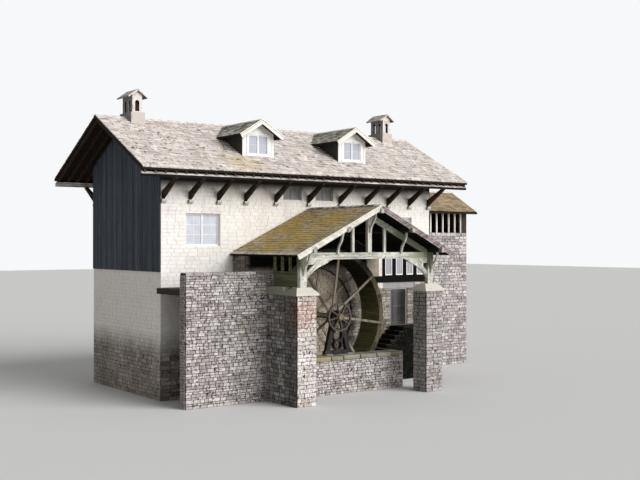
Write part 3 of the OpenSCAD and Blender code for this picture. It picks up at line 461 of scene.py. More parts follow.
# stone of the race, the pit, the wing, the landing and the front of the right pier
stoneMaterial("raceStone", {"dark": (86, 78, 80), "middle": (188, 179, 176), "light": (240, 232, 229),
    "stain": (122, 114, 102), "calm": 0.25, "speckle": 0.75, "speckleScale": 10.0, "chips": 0.9,
    "chipScale": 8.0, "chipLow": 0.575, "chipColour": (46, 40, 42), "joint": 0.9, "jointColour": (54, 47, 48),
    **brokenJoints, "moss": (98, 104, 58), "mossLow": 0.6, "mossScale": 0.8, "mossShare": 0.5, "bump": 0.9})
# mortar behind the stones
stoneMaterial("mortar", {"dark": (44, 38, 34), "middle": (58, 50, 46), "light": (78, 70, 64),
    "stain": (60, 58, 44), "toned": False})
# caps and corbels; their left and back faces, and one box on the left cap, carry painted shade, paler on the
# right cap
stoneMaterial("dressedStone", {"dark": (160, 154, 142), "middle": (212, 207, 196), "light": (232, 228, 218),
    "stain": (160, 154, 132), "stainLow": 0.54, "toned": False, "bump": 0.5, "leftFaceShade": (100, 104, 84),
    "paleShadeFace": (220, 220, 211), "paleShadeBox": (3.0, 4.4, -5.5, -4.3, 4.6, 5.2),
    "extraShadeBox": (-4.4, -3.6, -4.45, -4.2, 4.80, 5.1)})
stoneMaterial("lintelStone", {"dark": (108, 105, 105), "middle": (150, 147, 147), "light": (186, 183, 183),
    "stain": (116, 110, 100), "speckle": 0.3, "toned": False, "bump": 0.5})
# slates of the main roof, golden in one place at the left dormer
stoneMaterial("stoneSlate", {"dark": (150, 138, 130), "middle": (224, 214, 208), "light": (253, 248, 243),
    "stain": (182, 168, 156), "stainShare": 0.35, "toneShare": 0.5, "calm": 0.3, "speckle": 0.5,
    "chips": 0.85, "chipScale": 3.0, "chipColour": (86, 75, 68), "joint": 1.0, "jointColour": (48, 39, 34),
    "jointScale": 3.4, "jointLow": 0.22, "moss": (208, 186, 138), "mossLow": 0.42, "mossScale": 1.0,
    "mossFine": 5.0,
    "mossBox": (-4.6, -3.4, -1.4, 0.0, 10.2, 10.9), "mossShare": 0.6})
stoneMaterial("darkSlate", {"dark": (46, 43, 39), "middle": (138, 134, 124), "light": (244, 240, 228),
    "stain": (74, 71, 60), "speckle": 0.6, "calm": 0.08, "toneShare": 0.75, "joint": 0.9,
    "jointColour": (22, 20, 17), "jointScale": 3.0, "jointLow": 0.4})
# the left slope of the wheel house carries most of the moss
stoneMaterial("mossSlate", {"dark": (100, 86, 66), "middle": (172, 155, 120), "light": (228, 212, 178),
    "stain": (146, 132, 116), "stainScale": 0.8, "stainLow": 0.48, "toneShare": 0.5, "speckle": 0.75,
    "speckleScale": 10.0, "jointColour": (70, 56, 38), "jointScale": 4.0, "jointLow": 0.35,
    "moss": (190, 160, 64), "mossLow": 0.42, "mossScale": 0.8, "mossShare": 0.85, "mossFine": 6.0,
    "mossBox": (-3.9, -1.0, -4.6, -0.8, 6.0, 8.3)})
stoneMaterial("wingSlate", {"dark": (90, 74, 58), "middle": (158, 136, 110), "light": (208, 188, 160),
    "stain": (112, 98, 72), "rust": (176, 134, 98), "speckleScale": 10.0, "jointColour": (54, 43, 32),
    "jointScale": 4.0, "jointLow": 0.4, "moss": (128, 116, 58), "mossLow": 0.54, "mossFine": 6.0,
    "mossShare": 0.7})
stoneMaterial("ridgeStone", {"dark": (200, 192, 182), "middle": (232, 226, 218), "light": (250, 247, 242),
    "stain": (196, 188, 176), "stainShare": 0.3, "toneShare": 0.5, "joint": 0.4, "speckle": 0.2,
    "jointColour": (140, 132, 124), "bump": 0.4})
stoneMaterial("kerbStone", {"dark": (70, 67, 54), "middle": (150, 146, 130), "light": (206, 202, 188),
    "stain": (120, 118, 92), "speckle": 0.5, "toneShare": 0.5, "joint": 0.8, "jointColour": (48, 44, 34),
    "moss": (150, 134, 82), "mossLow": 0.45, "mossScale": 1.4, "mossShare": 0.6,
    "mossBox": (-3.4, -1.2, -3.5, -2.3, 1.4, 1.9)})
# the steps lie in deep shade, painted near black into their stone; the nosings are lighter: wear and painted
# light
stoneMaterial("stepStone", {"dark": (12, 12, 10), "middle": (22, 22, 18), "light": (44, 42, 36),
    "stain": (16, 18, 10), "toned": False})
stoneMaterial("darkStone", {"dark": (3, 3, 2), "middle": (6, 6, 5), "light": (30, 29, 25), "toneShare": 0.85,
    "calm": 0.1, "stain": (8, 9, 5), "joint": 0.8, "jointColour": (2, 2, 2), "bump": 0.9})
stoneMaterial("wornStep", {"dark": (14, 14, 11), "middle": (48, 46, 40), "light": (120, 116, 104),
    "stain": (16, 18, 10), "speckle": 0.9, "speckleScale": 5.0})

# limewashed masonry: bare and damp below the roof of the wheel house, painted shade behind its truss, beside
# the steps and under the eaves
facadeZones = {
    "streaked": (-8.4, 8.3, -0.6, 0.4, 8.6, 10.8, 0.8),
    "blotchedHigh": (-8.4, 8.3, -0.6, 0.4, 9.5, 10.8, 0.3),
    # the head of the wall under the eaves: painted shade
    "eaves": (-8.4, 8.3, -0.6, 0.3, 9.80, 10.9, 0.36),
    "bare": (-4.3, 8.3, -0.6, 0.3, -1.0, 6.45, 0.12),
    "shadeBesideSteps": (5.0, 8.3, -0.6, 0.4, -1.0, 2.6, 0.1),
    "besideWheel": (-3.0, -1.3, -0.6, 0.3, 3.4, 5.5, 0.35),
    "behindWheel": (-1.4, 1.5, -0.6, 0.3, 1.6, 5.2, 0.8),
    "porchGable": (-3.35, 3.55, -0.6, 0.1, 5.9, 9.0, 0.3),
    "besideStrip": (3.7, 4.5, -0.6, 0.3, 5.25, 6.6, 0.04),
}


# fall of the wheel house roof, whose shade on the facade runs along its slopes
shadeFall = 0.482


def limewash(name, toned):
    tree, shader, place = newMaterial(name, 0.88)
    surface = useGroup(tree, rough, {"Vector": place, "Scale": 1.0})
    zones = {zone: inBox(tree, place, *box) for zone, box in facadeZones.items()}
    run = useGroup(tree, streaks, {"Vector": place, "Scale": 3.4, "Low": 0.50, "High": 0.66})["Mask"]
    highBlotches = patchMask(tree, place, 2.4, 0.47, 0.60)
    white = mixColour(tree, surface["Tone"], (226, 220, 213), (248, 246, 242))
    if toned:
        tone, edge = attributeOf(tree, "tone"), attributeOf(tree, "edge")
        white = tinted(tree, white, tone, 0.2, (204, 194, 186))
    white = layered(tree, white, [
        (patchMask(tree, place, 0.9, 0.55, 0.68), 0.3, (210, 194, 184)),
        (patchMask(tree, place, 8.0, 0.58, 0.66), 0.4, (176, 162, 152)),
        (times(tree, run, zones["streaked"]), 0.16, (160, 150, 140)),
        # darker blotches high on the wall, below the eaves
        (times(tree, highBlotches, zones["blotchedHigh"]), 0.2, (96, 90, 78))])
    if toned:
        white = tinted(tree, white, edge, 0.3, (176, 166, 158))
    bare = mixColour(tree, surface["Tone"], (92, 86, 81), (180, 170, 161))
    if toned:
        bare = mixColour(tree, 0.55, bare, mixColour(tree, tone, (86, 78, 73), (214, 203, 193)))
    bare = layered(tree, bare, [
        (patchMask(tree, place, 9.0, 0.52, 0.60), 0.6, (66, 60, 56)),
        (patchMask(tree, place, 0.6, 0.42, 0.68), 0.55, (82, 78, 62))])
    if toned:
        bare = tinted(tree, bare, edge, 0.8, (52, 46, 40))
    # painted shade: the wall beside and below the steps is near black
    bare = tinted(tree, bare, zones["shadeBesideSteps"], 0.75, (30, 28, 24))

    # the foot of every wall is bare up to a line that wanders
    parts = splitPlace(tree, place)
    level = maths(tree, "ADD", parts[2], times(tree, noise(tree, place, 1.6, 4.0), 0.5))
    zone = maths(tree, "MAXIMUM", zones["bare"], between(tree, level, 3.3, 2.2))
    colour = mixColour(tree, zone, white, bare)
    colour = tinted(tree, colour, zones["besideWheel"], 0.9, (240, 228, 210))

    # deep shade between the wheel house roof and its front truss
    rise = maths(tree, "ADD", parts[2], times(tree, maths(tree, "ABSOLUTE", parts[0]), shadeFall))
    gable = times(tree, between(tree, rise, 8.62, 8.5), zones["porchGable"])
    colour = layered(tree, colour, [(gable, 0.98, (8, 7, 6)), (zones["besideStrip"], 0.6, (172, 160, 143))])
    shaded = tinted(tree, white, edge, 0.85, (84, 74, 64)) if toned else white
    shaded = mixColour(tree, 1.0, shaded, (250, 238, 218), "MULTIPLY")
    colour = tinted(tree, colour, zones["behindWheel"], 0.8, shaded)
    # painted shade under the eaves, with some dirt: the head of the wall turns nearly black
    colour = tinted(tree, colour, zones["eaves"], 0.96, (34, 28, 22))
    finishShader(tree, shader, colour, surface["Height"], 0.4, 0.015)


limewash("paintedStone", True)
limewash("paintedWall", False)


# chimneys: arched openings painted dark as painted shade, banded caps, a darker foot, painted shade under the
# caps and a mottled painted shade on the left face
def chimneyMaterial(name):
    tree, shader, place = newMaterial(name, 0.88)
    surface = useGroup(tree, rough, {"Vector": place, "Scale": 1.3})
    colour = mixColour(tree, surface["Tone"], (186, 176, 168), (240, 233, 228))
    facing = faceNormal(tree)
    bands = patchMask(tree, mapped(tree, place, {"Scale": (3.0, 0.5, 3.0)}), 2.4, 0.48, 0.56)
    capTop = times(tree, bands, between(tree, facing[2], 0.3, 0.6))
    # a mottle over the painted shade of the left face
    paintedShade = patchMask(tree, place, 6.0, 0.3, 0.62)
    leftFaceShade = times(tree, between(tree, facing[0], -0.6, -0.8), between(tree, paintedShade, 0.0, 1.0, 0.55, 1.0))
    # arched openings painted dark: painted shade inside them
    arches = inBox(tree, mirrorX(tree, place, 0.03), 7.42, 7.86, 2.9, 3.9, 13.13, 13.80, 0.01)
    colour = layered(tree, colour, [
        (patchMask(tree, place, 5.0, 0.5, 0.62), 0.45, (130, 120, 108)),
        (arches, 0.93, (28, 26, 26)),
        (times(tree, capTop, inBox(tree, place, -9, 9, 0, 6, 13.85, 14.5, 0.05)), 0.7, (112, 106, 94)),
        # faces turned down, under the caps: painted shade
        (between(tree, facing[2], -0.1, -0.4), 0.85, (40, 36, 30)),
        (inBox(tree, place, -9, 9, 0, 6, 12.3, 13.12, 0.04), 0.5, (176, 164, 154)),
        (leftFaceShade, 0.8, (92, 91, 101))])
    finishShader(tree, shader, colour, surface["Height"], 0.5, 0.02)


chimneyMaterial("chimneyStone")
print("mill: stone materials ready")


# timber: dark and light along the grain, stains, spots and areas of another colour
# an area is a box with its soft edge, a strength and a colour
def timberMaterial(name, dark, light, stain, turn=(0.0, 0.0, 0.0), stainLow=0.55, roughness=0.82, toned=False,
                   mirrored=False, scale=1.0, bump=0.35, areas=(), marks=0.0):
    tree, shader, place = newMaterial(name, roughness)
    along = mirrorX(tree, place) if mirrored else place
    along = mapped(tree, along, {"Rotation": tuple(math.radians(angle) for angle in turn)})
    wood = useGroup(tree, grain, {"Vector": along, "Scale": scale})
    colour = mixColour(tree, wood["Tone"], dark, light)
    if toned:
        colour = mixColour(tree, 0.4, colour, mixColour(tree, attributeOf(tree, "tone"), dark, light))
        colour = tinted(tree, colour, attributeOf(tree, "edge"), 0.85, (16, 16, 16))
    layers = [(patchMask(tree, place, 1.6, stainLow, stainLow + 0.15), 0.5, stain)]
    if marks:
        layers.append((patchMask(tree, place, 8.0, 0.55, 0.63), marks, (84, 76, 62)))
    layers += [(inBox(tree, place, *box), share, other) for box, share, other in areas]
    finishShader(tree, shader, layered(tree, colour, layers), wood["Height"], bump, 0.008)


# grain along x, along y, and along the rakes of the wheel house
alongX, alongY, alongRake = (0.0, 90.0, 0.0), (90.0, 0.0, 0.0), (0.0, -64.3, 0.0)
paleOak = ((126, 125, 114), (226, 223, 213), (132, 132, 114))
timberMaterial("oakUpright", *paleOak, marks=0.35)
# the tops of the posts, under the roof, are painted dark green: painted shade, with some moss
timberMaterial("oakPost", *paleOak, marks=0.45,
               areas=[((-4.2, 4.2, -5.5, -4.5, 6.0, 6.7, 0.3), 0.88, (92, 98, 74))])
timberMaterial("oakLevel", *paleOak, turn=alongX, marks=0.5,
               areas=[((3.0, 4.2, -5.5, -4.2, 6.0, 7.0, 1.0), 0.88, (156, 162, 134))])
timberMaterial("oakBrace", *paleOak, turn=(0.0, 45.0, 0.0), mirrored=True, marks=0.45)
# behind their front ends the purlins of the wheel house are painted near black: painted shade
timberMaterial("oakDeep", *paleOak, turn=alongY,
               areas=[((-5.0, 5.0, -5.60, 0.0, 5.0, 9.0, 0.4), 0.97, (10, 9, 7))])
timberMaterial("oakSlope", (124, 126, 112), (206, 206, 192), (100, 106, 82), turn=alongRake, mirrored=True,
               areas=[((1.9, 4.2, -5.5, -4.5, 5.9, 8.2, 0.8), 0.75, (112, 118, 92))])
timberMaterial("bargePale", (186, 178, 166), (236, 231, 221), (150, 140, 118), turn=alongRake, mirrored=True)
# the right bargeboards: weathered, and darker with painted shade
timberMaterial("bargeWorn", (84, 72, 72), (190, 175, 175), (70, 62, 58), turn=alongRake, mirrored=True)
# the lower edge of the eaves purlins is painted near black: painted shade, with some dirt
timberMaterial("purlinPale", (138, 124, 117), (248, 240, 235), (56, 42, 37), turn=alongX, stainLow=0.46,
               areas=[((-9.6, 9.6, -1.6, -1.3, 9.7, 9.925, 0.015), 0.99, (10, 8, 6))])
timberMaterial("strutDark", (16, 12, 10), (68, 52, 44), (12, 9, 7), turn=(50.0, 0.0, 0.0), scale=0.7)
timberMaterial("darkOak", (5, 5, 3), (16, 15, 11), (6, 6, 4))
# under the wheel house roof the boards are painted near black: painted shade
timberMaterial("soffitBoards", (22, 17, 14), (46, 37, 31), (16, 13, 11), turn=alongY,
               areas=[((-4.7, 4.7, -5.9, -0.3, 5.5, 8.8, 0.05), 0.97, (6, 6, 4))])
timberMaterial("rafterWood", (34, 25, 20), (70, 54, 44), (28, 22, 18), turn=(62.0, 0.0, 0.0),
               areas=[((-9.6, 9.6, -2.0, -1.547, 9.0, 11.0, 0.001), 0.88, (84, 72, 64))])
timberMaterial("greenOak", (60, 62, 44), (118, 120, 92), (80, 86, 58), turn=alongY)
# the upper part of the wheel, under the roof, is painted dark: painted shade
timberMaterial("wheelWood", (70, 66, 48), (132, 124, 100), (72, 70, 44), scale=0.8,
               areas=[((-3.4, 3.4, -2.3, -0.5, 5.9, 7.0, 1.2), 0.88, (34, 32, 25))])
timberMaterial("armWood", (104, 96, 82), (178, 168, 152), (92, 86, 66), scale=0.8,
               areas=[((-3.4, -0.5, -2.3, -0.5, 0.0, 7.0, 0.3), 0.88, (76, 68, 56))])
# the upper sole boards and buckets, under the roof, are painted dark: painted shade
timberMaterial("wetWood", (66, 66, 42), (134, 132, 96), (72, 76, 46), turn=alongY, roughness=0.7,
               areas=[((-3.4, 3.4, -2.3, -0.5, 5.2, 7.0, 1.6), 0.88, (12, 11, 8))])
timberMaterial("floorWood", (104, 82, 58), (150, 124, 92), (90, 74, 56), turn=alongX)
timberMaterial("boardWood", (40, 46, 54), (92, 98, 106), (56, 60, 58), toned=True)
# the right part of the door is painted dark: painted shade
timberMaterial("doorWood", (16, 15, 14), (104, 102, 101), (24, 24, 21), toned=True,
               areas=[((6.05, 6.4, -0.3, 0.0, 2.6, 4.6, 0.4), 0.75, (26, 25, 23))])
# the dormer cheeks, behind the front, are painted near black: painted shade
timberMaterial("dormerFace", (228, 224, 216), (250, 249, 246), (206, 200, 188), scale=0.7, bump=0.15,
               areas=[((-5.0, 5.0, -0.055, 6.0, 9.0, 14.0, 0.01), 0.95, (16, 17, 12))])
timberMaterial("creamPaint", (222, 216, 202), (250, 246, 237), (192, 184, 164), scale=0.7, bump=0.15)
timberMaterial("frameWhite", (222, 220, 216), (246, 245, 243), (196, 192, 182), bump=0.1,
               areas=[((-9.0, 9.0, -0.5, 8.0, 8.9, 10.2, 0.01), 0.88, (134, 132, 132)),
                      ((-4.0, 4.0, -0.073, 0.1, 11.0, 12.3, 0.001), 0.8, (214, 214, 216))])
timberMaterial("paleJamb", (196, 186, 176), (240, 234, 226), (160, 150, 138), bump=0.3)


def ironMaterial(name, dark, light, rust, rustLow):
    tree, shader, place = newMaterial(name, 0.75, 0.1, 0.25)
    surface = useGroup(tree, rough, {"Vector": place, "Scale": 2.0})
    colour = mixColour(tree, surface["Tone"], dark, light)
    colour = tinted(tree, colour, patchMask(tree, place, 4.0, rustLow, rustLow + 0.12), 0.75, rust)
    finishShader(tree, shader, colour, surface["Height"], 0.4, 0.006)


ironMaterial("blackIron", (14, 11, 14), (54, 47, 50), (80, 64, 54), 0.55)
ironMaterial("axleIron", (86, 72, 58), (142, 126, 106), (92, 66, 46), 0.56)
ironMaterial("wheelIron", (21, 18, 16), (116, 104, 95), (56, 41, 33), 0.53)

# old panes: a painted reflection of a pale sky, greyer in the attic, the long window and the dormers
paneZones = [((-9.0, 9.0, -0.5, 8.0, 8.9, 10.2, 0.01), 0.85, (124, 125, 124)),
             ((4.5, 8.0, -0.4, 0.0, 5.2, 6.6, 0.01), 0.8, (140, 138, 146)),
             ((-4.0, 4.0, -0.1, 0.1, 11.0, 12.4, 0.01), 0.6, (150, 154, 164))]
tree, shader, place = newMaterial("oldGlass", 0.22, 0.0, 0.12)
waves = noise(tree, place, 3.0, 2.0)
pane = mixColour(tree, waves, (172, 175, 186), (214, 216, 225))
pane = layered(tree, pane, [(inBox(tree, place, *box), share, other) for box, share, other in paneZones])
finishShader(tree, shader, pane, waves, 0.1, 0.004)
print("mill: timber, iron and glass ready")

# materials of the CAD nodes
nodeFinish = {
    "paintedWall": "front_wall_left front_wall_right front_wall_over_door back_wall left_wall right_wall",
    "boardWood": "gable_boarding", "floorWood": "floors wing_floor", "rafterWood": "rafters",
    "soffitBoards": "main_roof_front main_roof_back dormer_roofs porch_roof_left porch_roof_right wing_roof",
    "purlinPale": "eaves_purlins", "strutDark": "eaves_struts", "dormerFace": "dormer_walls",
    "dressedStone": "strut_corbels stone_caps pit_kerb", "chimneyStone": "chimneys chimney_caps",
    "frameWhite": "window_frames", "oldGlass": "window_glass", "darkOak": "strip_frame",
    "lintelStone": "door_frame", "stepStone": "steps", "paleJamb": "wing_posts", "greenOak": "side_frame",
    "mortar": "porch_piers porch_side_wall race_wall race_bed pit_walls wing_walls", "oakPost": "porch_posts",
    "oakLevel": "tie_beam", "oakSlope": "principal_rafters",
    "oakUpright": "king_post truss_studs verge_brackets",
    "oakBrace": "arch_braces", "oakDeep": "porch_purlins", "bargePale": "bargeboards",
    "blackIron": "door_pins bearing_stand wall_bearing back_ring door_straps", "wheelWood": "wheel_rims",
    "wetWood": "sole_boards buckets", "armWood": "wheel_arms", "axleIron": "wheel_axle",
    "wheelIron": "small_wheel", "doorWood": "door_leaf",
}
finishOf = {node: material for material, names in nodeFinish.items() for node in names.split()}
for name in nodes:
    nodes[name].data.materials.clear()
    nodes[name].data.materials.append(bpy.data.materials[finishOf[name]])
print("mill: nodes painted")


# stone, slate and board patterns
# one block stands on z = 0, centred on x, with its back on y = 0, one metre wide and high, facing -y
def blockPattern(name, seed):
    block = startBlock(name, (1, 1, 1), (0, -0.5, 0.5))
    editPiece(block)
    pickFaces(block, lambda centre, normal: normal.y > 0.9)
    bpy.ops.mesh.delete(type="FACE")
    pickFaces(block, lambda centre, normal: normal.y < -0.9)
    bpy.ops.mesh.inset(thickness=0.06, depth=0)
    bpy.ops.transform.translate(value=(0, -0.3, 0))
    bpy.ops.mesh.subdivide(number_cuts=1)
    bpy.ops.transform.vertex_random(offset=0.03, seed=seed)
    dropSelection()
    addTone(block, lambda point: 1.0 if point.y > -1.05 else 0.0)
    return block


# one slate lies on z = 0 with its lower edge on y = 0, one metre wide and long
def slatePattern(name, seed):
    slate = startBlock(name, (1, 1, 1), (0, 0.5, 0.5))
    editPiece(slate)
    pickFaces(slate, lambda centre, normal: normal.z < -0.9 or normal.y > 0.9)
    bpy.ops.mesh.delete(type="FACE")
    pickFaces(slate, lambda centre, normal: normal.y < -0.9)
    bpy.ops.mesh.subdivide(number_cuts=1)
    pickAll()
    bpy.ops.mesh.bisect(plane_co=(0, 0.5, 0), plane_no=(0, 1, 0))
    pickAll()
    bpy.ops.transform.vertex_random(offset=0.04, seed=seed)
    dropSelection()
    # edge marks the top of a slate, under the next row, and the foot of its butt; the slate materials darken
    # it there as painted shade
    addTone(slate, lambda point: 1.0 if point.y > 0.9 else 0.9 if point.z < 0.2 and point.y < 0.1 else 0.0)
    return slate


# one board stands like a block, with a chamfer along both long edges
def boardPattern(name, chamfer=0.05):
    board = startBlock(name, (1, 0.6, 1), (0, -0.3, 0.5))
    for side in (chamfer - 0.5, 0.5 - chamfer):
        cutPiece(board, (side, 0, 0), (1, 0, 0), keepBoth=True)
    editPiece(board)
    pickPoints(board, lambda point: abs(point.x) < 0.501 - chamfer and point.y < -0.5)
    bpy.ops.transform.translate(value=(0, -0.4, 0))
    dropSelection()
    addTone(board, lambda point: 1.0 if abs(point.x) > 0.49 else 0.0)
    return board


# one coping stone: a metre cube with worn edges, back on y = 0 and foot on z = 0
def copingPattern(name, seed):
    stone = startBlock(name, (1, 1, 1), (0, -0.5, 0.5))
    bevelAll(stone, 0.05, 2)
    editPiece(stone)
    pickAll()
    bpy.ops.transform.vertex_random(offset=0.02, seed=seed)
    dropSelection()
    addTone(stone, lambda point: 0.6 if abs(point.x) > 0.47 or point.z < 0.05 else 0.0)
    return stone


# one ridge tile, a metre long on x, bent over the ridge
def ridgePattern(name, half, pitch, thick, seed):
    tile = startBlock(name, (1, 2 * half, thick), (0, 0, thick / 2))
    cutPiece(tile, (0, 0, 0), (0, 1, 0), keepBoth=True)
    editPiece(tile)
    pickPoints(tile, lambda point: abs(point.y) > 0.01)
    bpy.ops.transform.translate(value=(0, 0, -half * math.tan(math.radians(pitch))))
    pickAll()
    bpy.ops.mesh.subdivide(number_cuts=1)
    bpy.ops.transform.vertex_random(offset=0.006, seed=seed)
    dropSelection()
    addTone(tile, lambda point: 0.9 if abs(point.x) > 0.49 else 0.0)
    return tile


blocks = [blockPattern("block" + str(i), i + 1) for i in range(6)]
slates = [slatePattern("slate" + str(i), i + 11) for i in range(6)]
boards = [boardPattern("board0")]
copings = [copingPattern("coping" + str(i), i + 31) for i in range(4)]


# small lengths in metres: what counts as no gap, what is too thin or too short to lay, the joint of slates
fit = {"slack": 0.001, "thinnest": 0.035, "least": 0.04, "restOfCourse": 0.05, "restOfRow": 0.02, "end": 0.01,
       "slateJoint": 0.008}


# what is left of a course between the holes, each span as left, right, low and high
def freeSpans(left, right, low, high, holes):
    cuts = sorted({left, right} | {end for hole in holes for end in hole[:2] if left < end < right})
    spans = []
    for start, stop in zip(cuts, cuts[1:]):
        levels = [(low, high)]
        for x0, x1, z0, z1 in holes:
            if x0 < stop - fit["slack"] and x1 > start + fit["slack"]:
                levels = [part for foot, head in levels
                          for part in ((foot, min(head, z0)), (max(foot, z1), head))
                          if part[1] - part[0] > fit["thinnest"]]
        for foot, head in levels:
            last = spans[-1] if spans else (0, start - 1, 0, 0)
            if max(abs(last[1] - start), abs(last[2] - foot), abs(last[3] - head)) < fit["slack"]:
                spans[-1][1] = stop
            else:
                spans.append([start, stop, foot, head])
    return spans


# courses of stones on one face; place maps the face (x to the right, -y outwards, z up) into the model
def stonePlaces(place, width, low, high, values, holes=(), top=None, tones=(0.0, 1.0), seed=1):
    rng = random.Random(seed)
    places = []
    z = low
    gap = values["joint"]
    bed = values.get("bed", gap)
    vary = values.get("vary", 0.15)
    while z < high - fit["least"]:
        course = min(values["course"] * rng.uniform(1 - vary, 1 + vary), high - z)
        if high - z - course < fit["restOfCourse"]:
            course = high - z
        for left, right, z0, z1 in freeSpans(0.0, width, z, z + course, holes):
            x = left
            while x < right - fit["restOfRow"]:
                long = values["length"] * rng.uniform(0.6, 1.45)
                if right - x - long < values["length"] * 0.5:
                    long = right - x
                tall = z1 - z0
                if top:
                    tall = min(tall, top(x) - z0, top(x + long) - z0)
                if min(tall, long) > fit["least"]:
                    out = values["out"] * rng.uniform(0.7, 1.3)
                    size = Matrix.Diagonal((long - gap, out, tall - bed, 1))
                    spot = Matrix.Translation((x + long / 2, 0, z0 + bed / 2))
                    places.append((place @ spot @ size, rng.uniform(*tones), rng.randrange(6)))
                x += long
        z += course
    return places


# a row of blocks side by side along x, from one end to the other
def rowPlaces(place, length, deep, tall, values, seed):
    rng = random.Random(seed)
    places = []
    x = 0.0
    while x < length - fit["end"]:
        long = values["length"] * rng.uniform(0.7, 1.3)
        if length - x - long < values["length"] * 0.6:
            long = length - x
        worn = (deep * rng.uniform(0.97, 1.0), tall * rng.uniform(0.95, 1.0))
        size = Matrix.Diagonal((long - values["joint"], *worn, 1))
        spot = Matrix.Translation((x + long / 2, 0, 0))
        places.append((place @ spot @ size, rng.random(), rng.randrange(4)))
        x += long
    return places


def faceAt(x, y, turn, z=0.0):
    return Matrix.Translation((x, y, z)) @ Matrix.Rotation(math.radians(turn), 4, "Z")


# stones on one upright side of a box
def sideStones(box, side, low, high, values, seed, **more):
    x, y, turn = {"front": ("left", "front", 0), "right": ("right", "front", 90),
                  "back": ("right", "back", 180), "left": ("left", "back", -90)}[side]
    width = less(box["right"], box["left"]) if side in ("front", "back") else less(box["back"], box["front"])
    return stonePlaces(faceAt(box[x], box[y], turn), width, low, high, values, seed=seed, **more)


# stones of the main block; a joint stands between two stones, a bed between two courses
facade = {"course": 0.175, "length": 0.36, "joint": 0.008, "bed": 0.015, "out": 0.012, "top": 10.60}
roughCast = {"course": 0.150, "length": 0.38, "joint": 0.011, "bed": 0.020, "out": 0.020, "vary": 0.25}
# windows: sill, width, height, columns and rows of panes in a light, thickness of the bars
attic = (9.07, 1.08, 0.65, 2, 2, 0.020)
upper = (6.85, 1.76, 1.47, 2, 3, 0.024)
lower = (3.6, 1.10, 1.2, 1, 3, 0.024)
sides = (-5.89, 5.83)
upperRow = [(middle, *upper) for middle in sides]
frontWindows = [(-0.96, *attic), (0.96, *attic)] + upperRow
backWindows = [(-0.99, *attic), (0.93, *attic)] + upperRow + [(middle, *lower) for middle in sides]
doorway, lintel, strip = boxOf("front_wall_over_door"), boxOf("door_frame"), boxOf("strip_frame")
bearing, raceBed, gableBox = boxOf("wall_bearing"), boxOf("race_bed"), boxOf("gable_boarding")
# the long window between its posts, the top of its beam, the block beside the lintel, the foot of the race
edges = {"panesLeft": 4.42, "panesRight": 7.83, "beamTop": 5.255, "blockLeft": 4.37, "lintelLow": 4.62,
         "raceLow": 4.75}
frontOpenings = [(edges["panesLeft"], edges["panesRight"], edges["beamTop"], strip["high"]),
                 (doorway["left"], doorway["right"], lintel["low"], edges["lintelLow"]),
                 (edges["blockLeft"], lintel["right"], edges["lintelLow"], lintel["high"]),
                 (strip["left"], strip["right"], lintel["high"], edges["beamTop"]),
                 (bearing["left"], bearing["right"], bearing["low"], bearing["high"]),
                 (raceBed["left"], raceBed["right"], edges["raceLow"], raceBed["high"])]


def windowOpenings(windows):
    openings = []
    for window in windows:
        middle, sill, wide, tall = window[:4]
        openings.append((middle - wide / 2, middle + wide / 2, sill, round(sill + tall, 4)))
    return openings


# openings as a face sees them: x measured from its own left end
def holesFrom(start, turn, openings):
    return [(*sorted(round(turn * (x - start), 4) for x in (left, right)), low, high)
            for left, right, low, high in openings]


frontHoles = holesFrom(mill["left"], 1, windowOpenings(frontWindows) + frontOpenings)
backHoles = holesFrom(mill["right"], -1, windowOpenings(backWindows))
width = less(mill["right"], mill["left"])
# below the wheel house roof the masonry is rough: low down to the right end, above it to the long window
bare = {"left": less(raceBed["right"], mill["left"]), "right": less(strip["left"], mill["left"]),
        "middle": lintel["high"], "high": boxOf("tie_beam")["low"]}
bareHoles = [(bare["left"], width, 0.0, bare["middle"]),
             (bare["left"], bare["right"], bare["middle"], bare["high"])]
lowHoles = [(left - bare["left"], right - bare["left"], low, high) for left, right, low, high in frontHoles]
frontFace = faceAt(mill["left"], mill["front"], 0)
bareFace = frontFace @ Matrix.Translation((bare["left"], 0, 0))
places = stonePlaces(frontFace, width, 0.0, facade["top"], facade, frontHoles + bareHoles, seed=3)
places += stonePlaces(bareFace, less(width, bare["left"]), 0.0, bare["middle"], roughCast, lowHoles, seed=7)
places += stonePlaces(bareFace, less(bare["right"], bare["left"]), bare["middle"], bare["high"], roughCast,
                      seed=8)
lay(blocks, places, "facadeStones", "paintedStone")
places = sideStones(mill, "back", 0.0, facade["top"], facade, 4, holes=backHoles)
lay(blocks, places, "backStones", "paintedStone")
wingHole = (less(wing["front"], mill["front"]), less(wing["back"], mill["front"]), 0, gableBox["low"])
places = sideStones(mill, "left", 0.0, gableBox["low"], facade, 5, tones=(0.5, 1.0))
places += sideStones(mill, "right", 0.0, gableBox["low"], facade, 6, holes=[wingHole])
lay(blocks, places, "gableStones", "paintedStone")
print("mill: facade stones laid")

# squared stones of piers, race, pit and wing; the left faces and some side and back faces get darker stones:
# painted shade
squared = {"course": 0.175, "length": 0.33, "joint": 0.014, "out": 0.022}
rubble = {"course": 0.125, "length": 0.27, "joint": 0.016, "out": 0.028, "vary": 0.35}
